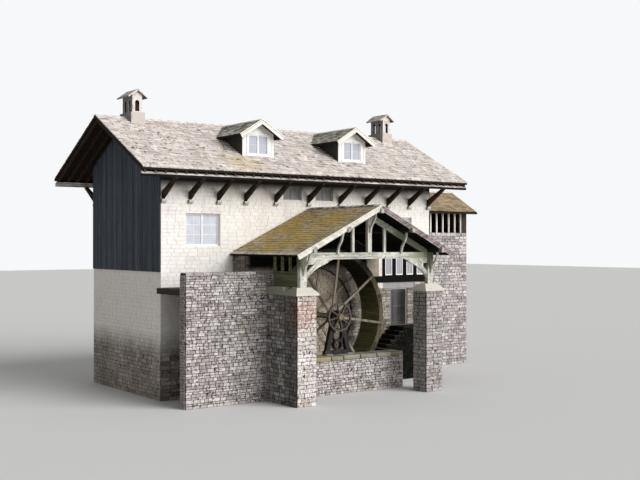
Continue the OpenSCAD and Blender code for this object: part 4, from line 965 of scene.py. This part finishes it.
# darker tones for faces in shade: painted shade
paintedShade = {"tones": (0.0, 0.3)}
piers, sideWall, raceWall = boxOf("porch_piers"), boxOf("porch_side_wall"), boxOf("race_wall")
pit, kerbBox, steps = boxOf("pit_walls"), boxOf("pit_kerb"), boxOf("steps")
pierWidth, pierTop = 1.0, piers["high"]
raceTop, raceStripLow = 5.63, 5.08
leftPier = {**piers, "right": round(piers["left"] + pierWidth, 4)}
rightPier = {**piers, "left": less(piers["right"], pierWidth)}
wallJoin = (less(leftPier["right"], sideWall["right"]), pierWidth, 0, pierTop)
places = sideStones(leftPier, "front", 0.0, pierTop, squared, 10, tones=(0.3, 1.0))
places += sideStones(leftPier, "back", 0.0, pierTop, squared, 13, holes=[wallJoin])
places += sideStones(leftPier, "right", 0.0, pierTop, squared, 19)
places += sideStones(rightPier, "back", 0.0, pierTop, squared, 15)
places += sideStones(rightPier, "right", 0.0, pierTop, squared, 21)
lay(blocks, places, "pierStones", "greyStone")
# left faces of the piers and of the side wall: painted shade
places = sideStones(leftPier, "left", 0.0, pierTop, squared, 16, tones=(0.0, 0.45))
places += sideStones(rightPier, "left", 0.0, pierTop, squared, 18, tones=(0.6, 1.0))
places += sideStones(sideWall, "left", 0.0, pierTop, squared, 31)
lay(blocks, places, "dampStones", "dampStone")
places = sideStones(sideWall, "right", 0.0, pierTop, squared, 32, **paintedShade)
places += sideStones(rightPier, "front", 0.0, pierTop, squared, 12, tones=(0.0, 0.62))
places += sideStones({**raceWall, "right": sideWall["left"]}, "front", 0.0, raceTop, rubble, 33)
places += sideStones({**raceWall, "left": sideWall["left"]}, "front", raceStripLow, raceTop, rubble, 38)
places += sideStones(raceWall, "left", 0.0, raceTop, rubble, 34, **paintedShade)
places += sideStones(raceWall, "right", 0.0, raceTop, rubble, 35, **paintedShade)
places += sideStones(raceWall, "back", raceBed["high"], raceTop, rubble, 36, **paintedShade)
places += sideStones(raceBed, "right", 0.0, raceBed["high"], rubble, 37, **paintedShade)
lay(blocks, places, "raceStones", "raceStone")
places = sideStones(pit, "front", 0.0, kerbBox["low"], rubble, 41)
places += sideStones(pit, "right", 0.0, kerbBox["low"], rubble, 42)
places += sideStones({**pit, "back": kerbBox["back"]}, "back", 0.0, kerbBox["low"], rubble, 43)
lay(blocks, places, "pitStones", "raceStone")


# the wing: its front ends below the open strip, its right side below the slope of the roof
wingTops = {"front": 7.57, "back": 8.8, "right": 9.9, "peak": 9.88}
wingHalf = less(wingRoof["back"], wingRoof["front"]) / 2


def wingSlope(u):
    aside = abs(u - less(wing["back"], wing["front"]) / 2)
    return wingTops["peak"] - aside * wingRoof["rise"] / wingHalf


places = sideStones(wing, "front", 0.0, wingTops["front"], squared, 51)
places += sideStones(wing, "back", 0.0, wingTops["back"], squared, 52)
places += sideStones(wing, "right", 0.0, wingTops["right"], squared, 53, top=wingSlope)
lay(blocks, places, "wingStones", "raceStone")

# the steps lead down to the left from the landing before the door
stair = {"landing": 5.20, "going": 0.29, "rise": 0.21, "slab": 0.05, "count": 4, "leftTop": 1.80}


def stepTop(u):
    down = math.ceil((stair["landing"] - steps["left"] - u) / stair["going"] - 0.001)
    return steps["high"] - stair["rise"] * max(0, down) - stair["slab"]


landingTop = less(steps["high"], stair["slab"])
# the front and left faces of the steps are near black: painted shade
places = sideStones(steps, "front", 0.0, landingTop, rubble, 54, top=stepTop)
places += sideStones(steps, "left", 0.0, stair["leftTop"], rubble, 56)
lay(blocks, places, "stepStones", "darkStone")
places = sideStones(steps, "right", 0.0, landingTop, rubble, 55, tones=(0.0, 0.7))
lay(blocks, places, "landingStones", "raceStone")

# kerb of the pit and coping of the race wall
kerb = {"length": 0.78, "joint": 0.014, "deep": 0.885, "inset": 0.02}
raceCoping = {"length": 0.52, "joint": 0.012, "deep": 0.485, "tall": 0.105, "low": 5.62, "inset": 0.01}
kerbFace = faceAt(kerbBox["left"], kerbBox["back"] - kerb["inset"], 0, kerbBox["low"])
places = rowPlaces(kerbFace, less(kerbBox["right"], kerbBox["left"]), kerb["deep"],
                   less(kerbBox["high"], kerbBox["low"]), kerb, 71)
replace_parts(lay(copings, places, "kerbStones", "kerbStone"), "pit_kerb")
copingFace = faceAt(raceWall["left"], raceWall["back"] + raceCoping["inset"], 0, raceCoping["low"])
places = rowPlaces(copingFace, less(raceWall["right"], raceWall["left"]), raceCoping["deep"],
                   raceCoping["tall"], raceCoping, 72)
lay(copings, places, "raceCopings", "raceStone")
print("mill: squared stones laid")

# upright boards on both gables, cut off below the slates
cladding = {"course": 9.0, "length": 0.185, "joint": 0.010, "out": 0.024, "below": 0.20, "top": 13.0}
ridgeY = round((roof["front"] + roof["back"]) / 2, 4)


def gableTop(y):
    rise = (min(y, 2 * ridgeY - y) - roof["front"]) * math.tan(math.radians(roof["pitch"]))
    return roof["eaves"] + rise - cladding["below"]


places = sideStones(gableBox, "left", gableBox["low"], cladding["top"], cladding, 73,
                    top=lambda u: gableTop(gableBox["back"] - u))
places += sideStones(gableBox, "right", gableBox["low"], cladding["top"], cladding, 74,
                     top=lambda u: gableTop(gableBox["front"] + u))
lay(boards, places, "gableBoards", "boardWood")
print("mill: gable boards nailed")


# rows of slates on one slope; place maps it into the model: x along the eaves, y up the slope, z off it
def slatePlaces(place, width, length, values, seed, holes=()):
    rng = random.Random(seed)
    places = []
    start, side, thick = values["start"], values["side"], values["thick"]
    rows = round((length - start) / values["row"])
    steps = [1 + values["taper"] * (0.5 - i / (rows - 1)) for i in range(rows)]
    steps = [step * (length - start) / sum(steps) for step in steps]
    y = start
    for step in steps:
        for left, right, y0, y1 in freeSpans(side, width - side, y, y + step, holes):
            x = left
            while x < right - fit["end"]:
                wide = values["width"] * rng.uniform(0.55, 1.45)
                if right - x - wide < values["width"] * 0.5:
                    wide = right - x
                lift = thick * rng.uniform(0.75, 1.4)
                long = min(step * 1.25, length - y0)
                size = Matrix.Diagonal((wide - fit["slateJoint"], long, lift, 1))
                tilt = Matrix.Rotation(-math.atan2(thick, step), 4, "X")
                slip = rng.uniform(-values["slip"], values["slip"])
                drop = Matrix.Translation((x + wide / 2, y0 + slip, thick * 0.9))
                places.append((place @ drop @ tilt @ size, rng.random(), rng.randrange(6)))
                x += wide
        y += step
    return places


def slopeAt(x, y, z, turn, pitch):
    return faceAt(x, y, turn, z) @ Matrix.Rotation(math.radians(pitch), 4, "X")


def ridgePlaces(place, length, long, seed):
    rng = random.Random(seed)
    count = round(length / long)
    step = length / count
    places = []
    for i in range(count):
        spot = Matrix.Translation(((i + 0.5) * step, 0, rng.uniform(-0.002, 0.002)))
        size = Matrix.Diagonal((step - fit["slateJoint"], 1, 1, 1))
        places.append((place @ spot @ size, rng.random(), rng.randrange(4)))
    return places


# slates of the main roof, left out behind the dormers, and the short ones along its front eaves
mainSlates = {"row": 0.25, "taper": 0.5, "width": 0.34, "thick": 0.030, "start": 0.07, "side": 0.02,
              "slip": 0.03}
eavesCourse = {"length": 0.36, "joint": 0.010, "deep": 0.240, "tall": 0.05, "up": 0.20, "drop": -0.012,
               "end": 0.015}
dormerGap = {"half": 0.86, "start": 1.525, "length": 2.1}
slopeCos = math.cos(math.radians(roof["pitch"]))
mainSlope = less(ridgeY, roof["front"]) / slopeCos
roofLong = less(roof["right"], roof["left"])
gapLow = dormerGap["start"] / slopeCos
dormerHoles = []
for middle in dormer["middles"]:
    start, half = middle - roof["left"], dormerGap["half"]
    dormerHoles.append((start - half, start + half, gapLow, gapLow + dormerGap["length"]))
frontSlope = slopeAt(roof["left"], roof["front"], roof["eaves"], 0, roof["pitch"])
places = slatePlaces(frontSlope, roofLong, mainSlope, mainSlates, 61, dormerHoles)
lay(slates, places, "roofSlatesFront", "stoneSlate")
eavesLine = slopeAt(roof["left"] + eavesCourse["end"], roof["front"], roof["eaves"], 0, roof["pitch"])
eavesLine = eavesLine @ Matrix.Translation((0, eavesCourse["up"], eavesCourse["drop"]))
places = rowPlaces(eavesLine, less(roofLong, 2 * eavesCourse["end"]), eavesCourse["deep"], eavesCourse["tall"],
                   eavesCourse, 75)
lay(copings, places, "eavesSlates", "stoneSlate")
backSlope = slopeAt(roof["right"], roof["back"], roof["eaves"], 180, roof["pitch"])
places = slatePlaces(backSlope, roofLong, mainSlope, mainSlates, 62)
lay(slates, places, "roofSlatesBack", "stoneSlate")

# slates of the wheel house
porchSlates = {"row": 0.21, "taper": 0.3, "width": 0.29, "thick": 0.015, "start": 0.06, "side": 0.015,
               "slip": 0.03}
porchCourse = {"length": 0.31, "joint": 0.008, "deep": 0.160, "tall": 0.036, "up": 0.13, "drop": -0.012,
               "long": 5.5, "leftEnd": 0.01, "rightEnd": 0.02}
porchPitch = math.degrees(math.atan2(porch["rise"], porch["right"]))
porchSlope = math.hypot(porch["rise"], porch["right"])
porchLong = less(porch["back"], porch["front"])
leftSlope = slopeAt(porch["left"], porch["back"], porch["eaves"], -90, porchPitch)
rightSlope = slopeAt(porch["right"], porch["front"], porch["eaves"], 90, porchPitch)
places = slatePlaces(leftSlope, porchLong, porchSlope, porchSlates, 63)
lay(slates, places, "porchSlatesLeft", "mossSlate")
places = []
for x, y, turn, seed in ((porch["left"], porch["back"] - porchCourse["leftEnd"], -90, 76),
                         (porch["right"], porch["front"] + porchCourse["rightEnd"], 90, 77)):
    eavesLine = slopeAt(x, y, porch["eaves"], turn, porchPitch)
    places += rowPlaces(eavesLine @ Matrix.Translation((0, porchCourse["up"], porchCourse["drop"])),
                        porchCourse["long"], porchCourse["deep"], porchCourse["tall"], porchCourse, seed)
lay(copings, places, "porchEavesSlates", "stoneSlate")
places = slatePlaces(rightSlope, porchLong, porchSlope, porchSlates, 64)
lay(slates, places, "porchSlatesRight", "wingSlate")

# slates of the wing, from the side of the main block outwards
wingPitch = math.degrees(math.atan2(wingRoof["rise"], wingHalf))
wingLeft = gableBox["right"]
wingLong = less(wingRoof["right"], wingLeft)
places = []
for x, y, turn, seed in ((wingLeft, wingRoof["front"], 0, 65),
                         (wingRoof["right"], wingRoof["back"], 180, 66)):
    slope = slopeAt(x, y, wingRoof["eaves"], turn, wingPitch)
    places += slatePlaces(slope, wingLong, math.hypot(wingRoof["rise"], wingHalf), porchSlates, seed)
lay(slates, places, "wingSlates", "wingSlate")

# slates of the dormers
dormerSlates = {"row": 0.19, "taper": 0.2, "width": 0.26, "thick": 0.020, "start": 0.05, "side": 0.012,
                "slip": 0.015}
dormerPitch = math.degrees(math.atan2(dormer["rise"], dormer["reach"]))
dormerSlope = math.hypot(dormer["rise"], dormer["reach"])
dormerFront, dormerBack = boxOf("dormer_roofs")["front"], 3.2
places = []
for middle in dormer["middles"]:
    for side, y, seed in ((-1, dormerBack, 67), (1, dormerFront, 68)):
        slope = slopeAt(middle + side * dormer["reach"], y, dormer["eaves"], side * 90, dormerPitch)
        places += slatePlaces(slope, dormerBack - dormerFront, dormerSlope, dormerSlates, seed)
lay(slates, places, "dormerSlateRows", "darkSlate")
print("mill: slates laid")


# ridge tiles: half width, pitch, thickness and first seed of each kind
def ridgeKind(name, half, pitch, thick, seed):
    return [ridgePattern(name + str(i), half, pitch, thick, seed + i) for i in range(4)]


# heights of the ridges, length of a tile on each, and the small step by which a row starts or stops aside
ridge = {"main": 12.915, "wing": 10.035, "porch": 8.682, "dormer": 12.823, "end": 0.01,
         "tile": {"main": 0.48, "wing": 0.40, "porch": 0.42, "dormer": 0.36}}
tile, end = ridge["tile"], ridge["end"]
mainRidge = ridgeKind("mainRidge", 0.15, roof["pitch"], 0.035, 1)
mainLine = Matrix.Translation((roof["left"] + end, ridgeY, ridge["main"]))
wingLine = Matrix.Translation((wingLeft - end, ridgeY, ridge["wing"]))
places = ridgePlaces(mainLine, roofLong - 2 * end, tile["main"], 81)
places += ridgePlaces(wingLine, wingLong - end, tile["wing"], 82)
lay(mainRidge, places, "ridgeTiles", "ridgeStone")
porchRidge = ridgeKind("porchRidge", 0.13, porchPitch, 0.03, 5)
porchLine = faceAt(0, porch["front"] - 2 * end, 90, ridge["porch"])
places = ridgePlaces(porchLine, porchLong + end, tile["porch"], 83)
lay(porchRidge, places, "porchRidgeTiles", "darkSlate")
dormerRidge = ridgeKind("dormerRidge", 0.11, dormerPitch, 0.026, 9)
places = []
for middle in dormer["middles"]:
    places += ridgePlaces(faceAt(middle, -0.47, 90, ridge["dormer"]), 3.6, tile["dormer"], 84)
lay(dormerRidge, places, "dormerRidgeTiles", "ridgeStone")
removePatterns(slates + blocks + copings + mainRidge + porchRidge + dormerRidge)
print("mill: ridges covered")


# a board along a rake; top and foot are points (x, z) on the roof, low and high are measured square to it
def rakeBoard(name, top, foot, front, back, low, high):
    line = Vector((foot[0] - top[0], 0, foot[1] - top[1])).normalized()
    up = Vector((-line.z, 0, line.x)) if line.x > 0 else Vector((line.z, 0, -line.x))
    lift = up * (low + high) / 2
    middle = (front + back) / 2
    start = Vector((top[0], middle, top[1])) - line * 0.4 + lift
    end = Vector((foot[0], middle, foot[1])) + lift
    board = bar(name, start, end, high - low, back - front)
    cutPiece(board, (top[0], 0, 0), (1 if line.x < 0 else -1, 0, 0))
    bevelAll(board, 0.006)
    return board


def plank(name, x0, x1, y0, y1, z0, z1, edge=0.006):
    piece = startBlock(name, (x1 - x0, y1 - y0, z1 - z0), ((x0 + x1) / 2, (y0 + y1) / 2, (z0 + z1) / 2))
    bevelAll(piece, edge)
    return piece


# bargeboards of the wheel house, cream on the left and weathered on the right, where the darker colour is also
# painted shade; a strip is low, high, set back
barge = {"front": -5.84, "back": -5.785, "top": 8.65, "reach": 4.55, "fall": porch["rise"] / porch["right"],
         "left": [(-0.20, -0.045, 0.012), (-0.036, 0.035, 0.0)],
         "right": [(-0.20, -0.125, 0.016), (-0.108, -0.045, 0.006), (-0.03, 0.035, 0.0)]}


def rakeOf(top, reach):
    return (0.0, top), (reach, top - abs(reach) * barge["fall"])


def bargeStrips(name, reach, strips):
    return [rakeBoard(name, *rakeOf(barge["top"], reach), barge["front"] + dip, barge["back"], low, high)
            for low, high, dip in strips]


strips = bargeStrips("cream", -barge["reach"], barge["left"])
bargeLeft = fix(strips, "bargeLeft", "bargePale")
strips = bargeStrips("worn", barge["reach"], barge["right"])
bargeRight = fix(strips, "bargeRight", "bargeWorn")
backing = [rakeBoard("backing", *rakeOf(barge["top"], side * 4.53), -5.80, -5.781, -0.19, 0.02)
           for side in (-1, 1)]
bargeShade = fix(backing, "bargeShade", "darkOak")
for piece in (bargeLeft, bargeRight, bargeShade):
    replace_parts(piece, "bargeboards")

# pale flashing where the wheel house roof meets the facade
flash = [rakeBoard("flash", *rakeOf(8.70, side * 4.3), -0.33, -0.252, 0.0, 0.05) for side in (-1, 1)]
fix(flash, "flashing", "ridgeStone")
print("mill: bargeboards fixed")

# dark boards close the gap between the eaves purlins and the slates; their near black is painted shade
filling = [plank("filling", -9.48, 9.42, y, y + 0.03, 10.045, 10.15) for y in (-1.507, 8.277)]
fix(filling, "eavesFilling", "darkOak")

# dormer fronts: rake boards, corner boards, casing, sill and apron
dormerTrim = {"half": 0.878, "corner": 0.12, "window": 0.56, "casing": 0.085, "back": -0.074}
trim, rakes = [], []
for side in (-1, 1):
    top, foot = (0.0, dormer["ridge"]), (side * dormer["reach"], dormer["eaves"])
    rakes.append(rakeBoard("rakeLow", top, foot, -0.50, -0.456, -0.175, -0.030))
    rakes.append(rakeBoard("rakeTop", top, foot, -0.515, -0.456, -0.010, 0.042))
    x0, x1 = sorted((side * (dormerTrim["half"] - dormerTrim["corner"]), side * dormerTrim["half"]))
    trim.append(plank("corner", x0, x1, -0.097, dormerTrim["back"], 11.045, 12.02))
    x0, x1 = sorted((side * dormerTrim["window"], side * (dormerTrim["window"] + dormerTrim["casing"])))
    trim.append(plank("casing", x0, x1, -0.105, dormerTrim["back"], 11.14, 12.15))
for name, half, front, low, high in (("head", 0.645, -0.108, 12.10, 12.19),
                                     ("sill", 0.70, -0.150, 11.085, 11.15),
                                     ("apron", 0.875, -0.095, 11.035, 11.09)):
    trim.append(plank(name, -half, half, front, dormerTrim["back"], low, high))
bothDormers = [(Matrix.Translation((middle, 0, 0)), 0.5, 0) for middle in dormer["middles"]]
for pieces, name, paint in ((trim, "dormerCasings", "frameWhite"), (rakes, "dormerRakes", "creamPaint")):
    pattern = joinPieces(pieces, name + "Pattern")
    addTone(pattern)
    lay([pattern], bothDormers, name, paint)
    removePatterns([pattern])


# glazing bars: each window has two lights, each light has columns and rows of panes
glazing = {"rail": 0.07, "post": 0.105, "lean": 0.0175, "upright": 0.016, "level": 0.014, "edge": 0.003}


def glazingBars(name, windows):
    bars = []
    rail, edge = glazing["rail"], glazing["edge"]
    for glassY, (middle, sill, wide, tall, columns, rows, thick) in windows:
        for side in (-1, 1):
            centre, light = middle + side * (wide / 4 - glazing["lean"]), wide / 2 - glazing["post"]
            for i in range(1, columns):
                x = centre - light / 2 + light * i / columns
                bars.append(plank("bar", x - thick / 2, x + thick / 2, glassY - glazing["upright"],
                                  glassY + glazing["upright"], sill + rail, sill + tall - rail, edge))
            for i in range(1, rows):
                z = sill + rail + (tall - 2 * rail) * i / rows
                bars.append(plank("bar", centre - light / 2, centre + light / 2, glassY - glazing["level"],
                                  glassY + glazing["level"], z - thick / 2, z + thick / 2, edge))
    fix(bars, name, "frameWhite")


glassAt = {"front": -0.09, "back": 6.89, "dormer": -0.035}
glazingBars("wallGlazing", [(glassAt["front"], window) for window in frontWindows]
            + [(glassAt["back"], window) for window in backWindows])
dormerWindow = (11.16, 1.15, 0.96, 2, 2, 0.016)
glazingBars("dormerGlazing", [(glassAt["dormer"], (middle, *dormerWindow)) for middle in dormer["middles"]])

# long window: white inner frames between the dark posts, with one bar, in the second light two
longWindow = {"panes": (4.91, 5.64, 6.37, 7.10), "wide": 0.49, "low": 5.297, "high": 6.458, "wood": 0.065}
barsIn = [(0.5,), (0.36, 0.64), (0.5,), (0.5,)]
low, high, wood = longWindow["low"], longWindow["high"], longWindow["wood"]
parts = []
for i, x0 in enumerate(longWindow["panes"]):
    x1 = x0 + longWindow["wide"]
    for start, end in ((x0 + 0.002, x0 + wood), (x1 - wood, x1 - 0.002)):
        parts.append(plank("stile", start, end, -0.226, -0.196, low, high))
    for start, end in ((low, low + wood), (high - wood, high)):
        parts.append(plank("rail", x0 + wood - 0.004, x1 - wood + 0.004, -0.222, -0.198, start, end))
    for share in barsIn[i]:
        x = x0 + longWindow["wide"] * share
        parts.append(plank("thin", x - 0.009, x + 0.009, -0.216, -0.200, low + 0.06, high - 0.06, 0.003))
fix(parts, "stripFrames", "frameWhite")
jambPost = plank("jambPost", edges["panesLeft"], 4.665, -0.285, -0.245, 5.258, 6.43, 0.008)
dress(jambPost, "mill", "paleJamb")
endBlock = plank("endBlock", 4.375, 4.735, -0.275, -0.235, 4.625, 4.925, 0.012)
dress(endBlock, "mill", "paleJamb")
print("mill: windows glazed")

# door: boards, three rails and a ring handle, all on the leaf
door = {"left": 5.31, "right": 6.31, "low": 2.72, "high": 4.53, "boards": 7, "gap": 0.006, "front": -0.189,
        "rails": ((2.735, 2.84), (3.63, 3.72), (4.42, 4.52)), "ring": (6.20, -0.222, 3.545)}
wide = (door["right"] - door["left"]) / door["boards"]
size = Matrix.Diagonal((wide - door["gap"], 0.016, door["high"] - door["low"], 1))
places = []
for i in range(door["boards"]):
    spot = Matrix.Translation((door["left"] + wide * (i + 0.5), door["front"], door["low"]))
    # the boards darken towards the right: painted shade
    places.append((spot @ size, 0.9 - 0.12 * i, 0))
lay(boards, places, "doorBoards", "doorWood", "door")
rails = [plank("rail", door["left"] + 0.004, door["right"] - 0.004, -0.217, -0.203, low, high, 0.004)
         for low, high in door["rails"]]
addTone(fix(rails, "doorRails", "doorWood", "door"), tone=0.95)
dropSelection()
bpy.ops.mesh.primitive_torus_add(major_radius=0.042, minor_radius=0.007, major_segments=24, minor_segments=8,
                                 location=door["ring"], rotation=(math.pi / 2, 0, 0))
applyPlace()
ring = bpy.context.object
plate = plank("plate", 6.175, 6.225, -0.216, -0.205, 3.54, 3.64, 0.004)
fix([ring, plate], "doorHandle", "blackIron", "door")

# worn nosings on the steps, lighter than the painted shade around them: wear and painted light
nosing = []
for i in range(1, stair["count"] + 1):
    x, top = stair["landing"] - stair["going"] * i, steps["high"] - stair["rise"] * i
    nosing.append(plank("nosing", x, x + 0.34, -1.352, -0.90 + 0.05 * i, top - 0.045, top + 0.003, 0.008))
fix(nosing, "wornNosings", "wornStep")
print("mill: door and steps finished")


# bolts, pegs and plates: a six-sided head and a round peg, modelled once each, facing -y
def headPattern(name, sides, chamfer):
    dropSelection()
    bpy.ops.mesh.primitive_cylinder_add(vertices=sides, radius=0.5, depth=1, location=(0, -0.5, 0),
                                        rotation=(math.pi / 2, 0, 0))
    applyPlace()
    head = bpy.context.object
    head.name = name
    editPiece(head)
    pickFaces(head, lambda centre, normal: normal.y > 0.9)
    bpy.ops.mesh.delete(type="FACE")
    pickFaces(head, lambda centre, normal: normal.y < -0.9)
    bpy.ops.mesh.inset(thickness=chamfer, depth=0)
    bpy.ops.transform.translate(value=(0, -0.35, 0))
    dropSelection()
    addTone(head)
    return head


def headPlaces(points, width, out):
    size = Matrix.Diagonal((width, out, width, 1))
    return [(Matrix.Translation(point) @ size, 0.5, 0) for point in points]


def bothWays(y, spots):
    return [(side * x, y, z) for side in (-1, 1) for x, z in spots]


# the wheel's arms stand 8.5 degrees off level, its rim plates halfway between them
wheel = {"axisZ": 3.51, "turn": -8.5, "arms": 8}
spread = 360 / wheel["arms"]
armAngles = [spread * i for i in range(wheel["arms"])]
plateAngles = [spread / 2 + angle for angle in armAngles]


def wheelPoint(radius, angle, y):
    turn = math.radians(angle + wheel["turn"])
    return (radius * math.cos(turn), y, wheel["axisZ"] + radius * math.sin(turn))


boltHead = headPattern("boltHead", 6, 0.12)
pegHead = headPattern("pegHead", 10, 0.10)
points = [wheelPoint(radius, angle, -2.17) for angle in armAngles for radius in (2.99, 3.10, 0.62, 0.45)]
points += [wheelPoint(radius, angle + aside, -2.114) for angle in plateAngles for radius in (3.03, 3.13)
           for aside in (-2.3, 2.3)]
lay([boltHead], headPlaces(points, 0.038, 0.018), "wheelBolts", "blackIron", "wheel")
plates = []
for angle in plateAngles:
    plate = plank("rimPlate", -0.085, 0.085, -0.014, 0.0, -0.20, 0.20, 0.004)
    turned = Matrix.Rotation(-math.radians(angle + wheel["turn"]), 4, "Y")
    plate.data.transform(Matrix.Translation(wheelPoint(3.078, angle, -2.10)) @ turned)
    plates.append(plate)
fix(plates, "rimPlates", "wheelIron", "wheel")
points = bothWays(-4.98, ((3.35, 6.47), (3.35, 6.36), (0.92, 6.48), (0.92, 6.36)))
points += [(0, -4.98, 6.50), (0, -4.98, 6.36), (-0.055, -4.98, 8.0), (0.055, -4.98, 7.9)]
points += bothWays(-5.02, ((3.62, 5.28), (3.72, 5.42), (3.62, 6.12), (3.74, 6.3)))
lay([pegHead], headPlaces(points, 0.034, 0.010), "trussPegs", "darkOak")
points = bothWays(-2.65, ((0.66, 1.84), (0.52, 1.84), (0.30, 1.84)))
points += bothWays(-2.65, ((0.20, wheel["axisZ"] - 0.20), (0.20, wheel["axisZ"] + 0.16)))
lay([boltHead], headPlaces(points, 0.05, 0.022), "standBolts", "blackIron")
pads = [plank("pad", x - 0.19, x + 0.19, -2.82, -2.43, 1.735, 1.80, 0.015) for x in (-0.62, 0.62)]
fix(pads, "standPads", "kerbStone")
removePatterns([boltHead, pegHead] + boards)
print("mill: bolts and pegs set")

# floor, light and camera
studio = {"floor": (0.66, 0.66, 0.65, 1), "sun": 3.6, "sunTurn": (64, 0, 26), "sunSoft": 48, "sky": 0.34,
          "backdrop": (0.93, 0.94, 0.95, 1), "camera": (-27.659, -38.880, 7.000),
          "cameraTurn": (90.156, 0.0, -36.274), "lens": 54.48}


def radians(angles):
    return [math.radians(angle) for angle in angles]


dropSelection()
bpy.ops.mesh.primitive_plane_add(size=400, location=(2, 3, -0.002))
floor = bpy.context.object
floor.name = "studioFloor"
tree, shader, place = newMaterial("floorPaint", 0.9)
shader.inputs["Base Color"].default_value = studio["floor"]
floor.data.materials.append(bpy.data.materials["floorPaint"])

bpy.ops.object.light_add(type="SUN", location=(20, -30, 40))
sun = bpy.context.object
sun.name = "studioSun"
sun.rotation_euler = radians(studio["sunTurn"])
sun.data.energy = studio["sun"]
sun.data.angle = math.radians(studio["sunSoft"])

world = bpy.data.worlds.new("studioWorld")
bpy.context.scene.world = world
world.use_nodes = True
tree = world.node_tree
tree.nodes.clear()
ray = put(tree, "ShaderNodeLightPath").outputs
seen = maths(tree, "MAXIMUM", ray["Is Glossy Ray"], ray["Is Transmission Ray"])
seen = maths(tree, "MAXIMUM", ray["Is Camera Ray"], seen)
sky = put(tree, "ShaderNodeBackground", {"Color": (1, 1, 1, 1), "Strength": studio["sky"]})
backdrop = put(tree, "ShaderNodeBackground", {"Color": studio["backdrop"], "Strength": 1.0})
mixed = put(tree, "ShaderNodeMixShader", {0: seen, 1: sky.outputs[0], 2: backdrop.outputs[0]})
put(tree, "ShaderNodeOutputWorld", {0: mixed.outputs[0]})

bpy.ops.object.camera_add(location=studio["camera"], rotation=radians(studio["cameraTurn"]))
camera = bpy.context.object
camera.name = "photoCamera"
camera.data.lens = studio["lens"]
camera.data.sensor_width = 36
camera.data.clip_start, camera.data.clip_end = 0.5, 500
bpy.context.scene.camera = camera
bpy.context.scene.view_settings.view_transform = "Standard"
print("mill: stage ready")

triangles = {piece.name: sum(len(face.vertices) - 2 for face in piece.data.polygons)
             for piece in bpy.context.scene.objects if piece.type == "MESH"}
print("mill: triangles in all", sum(triangles.values()), "most in one", max(triangles.values()))
print("mill: finished")
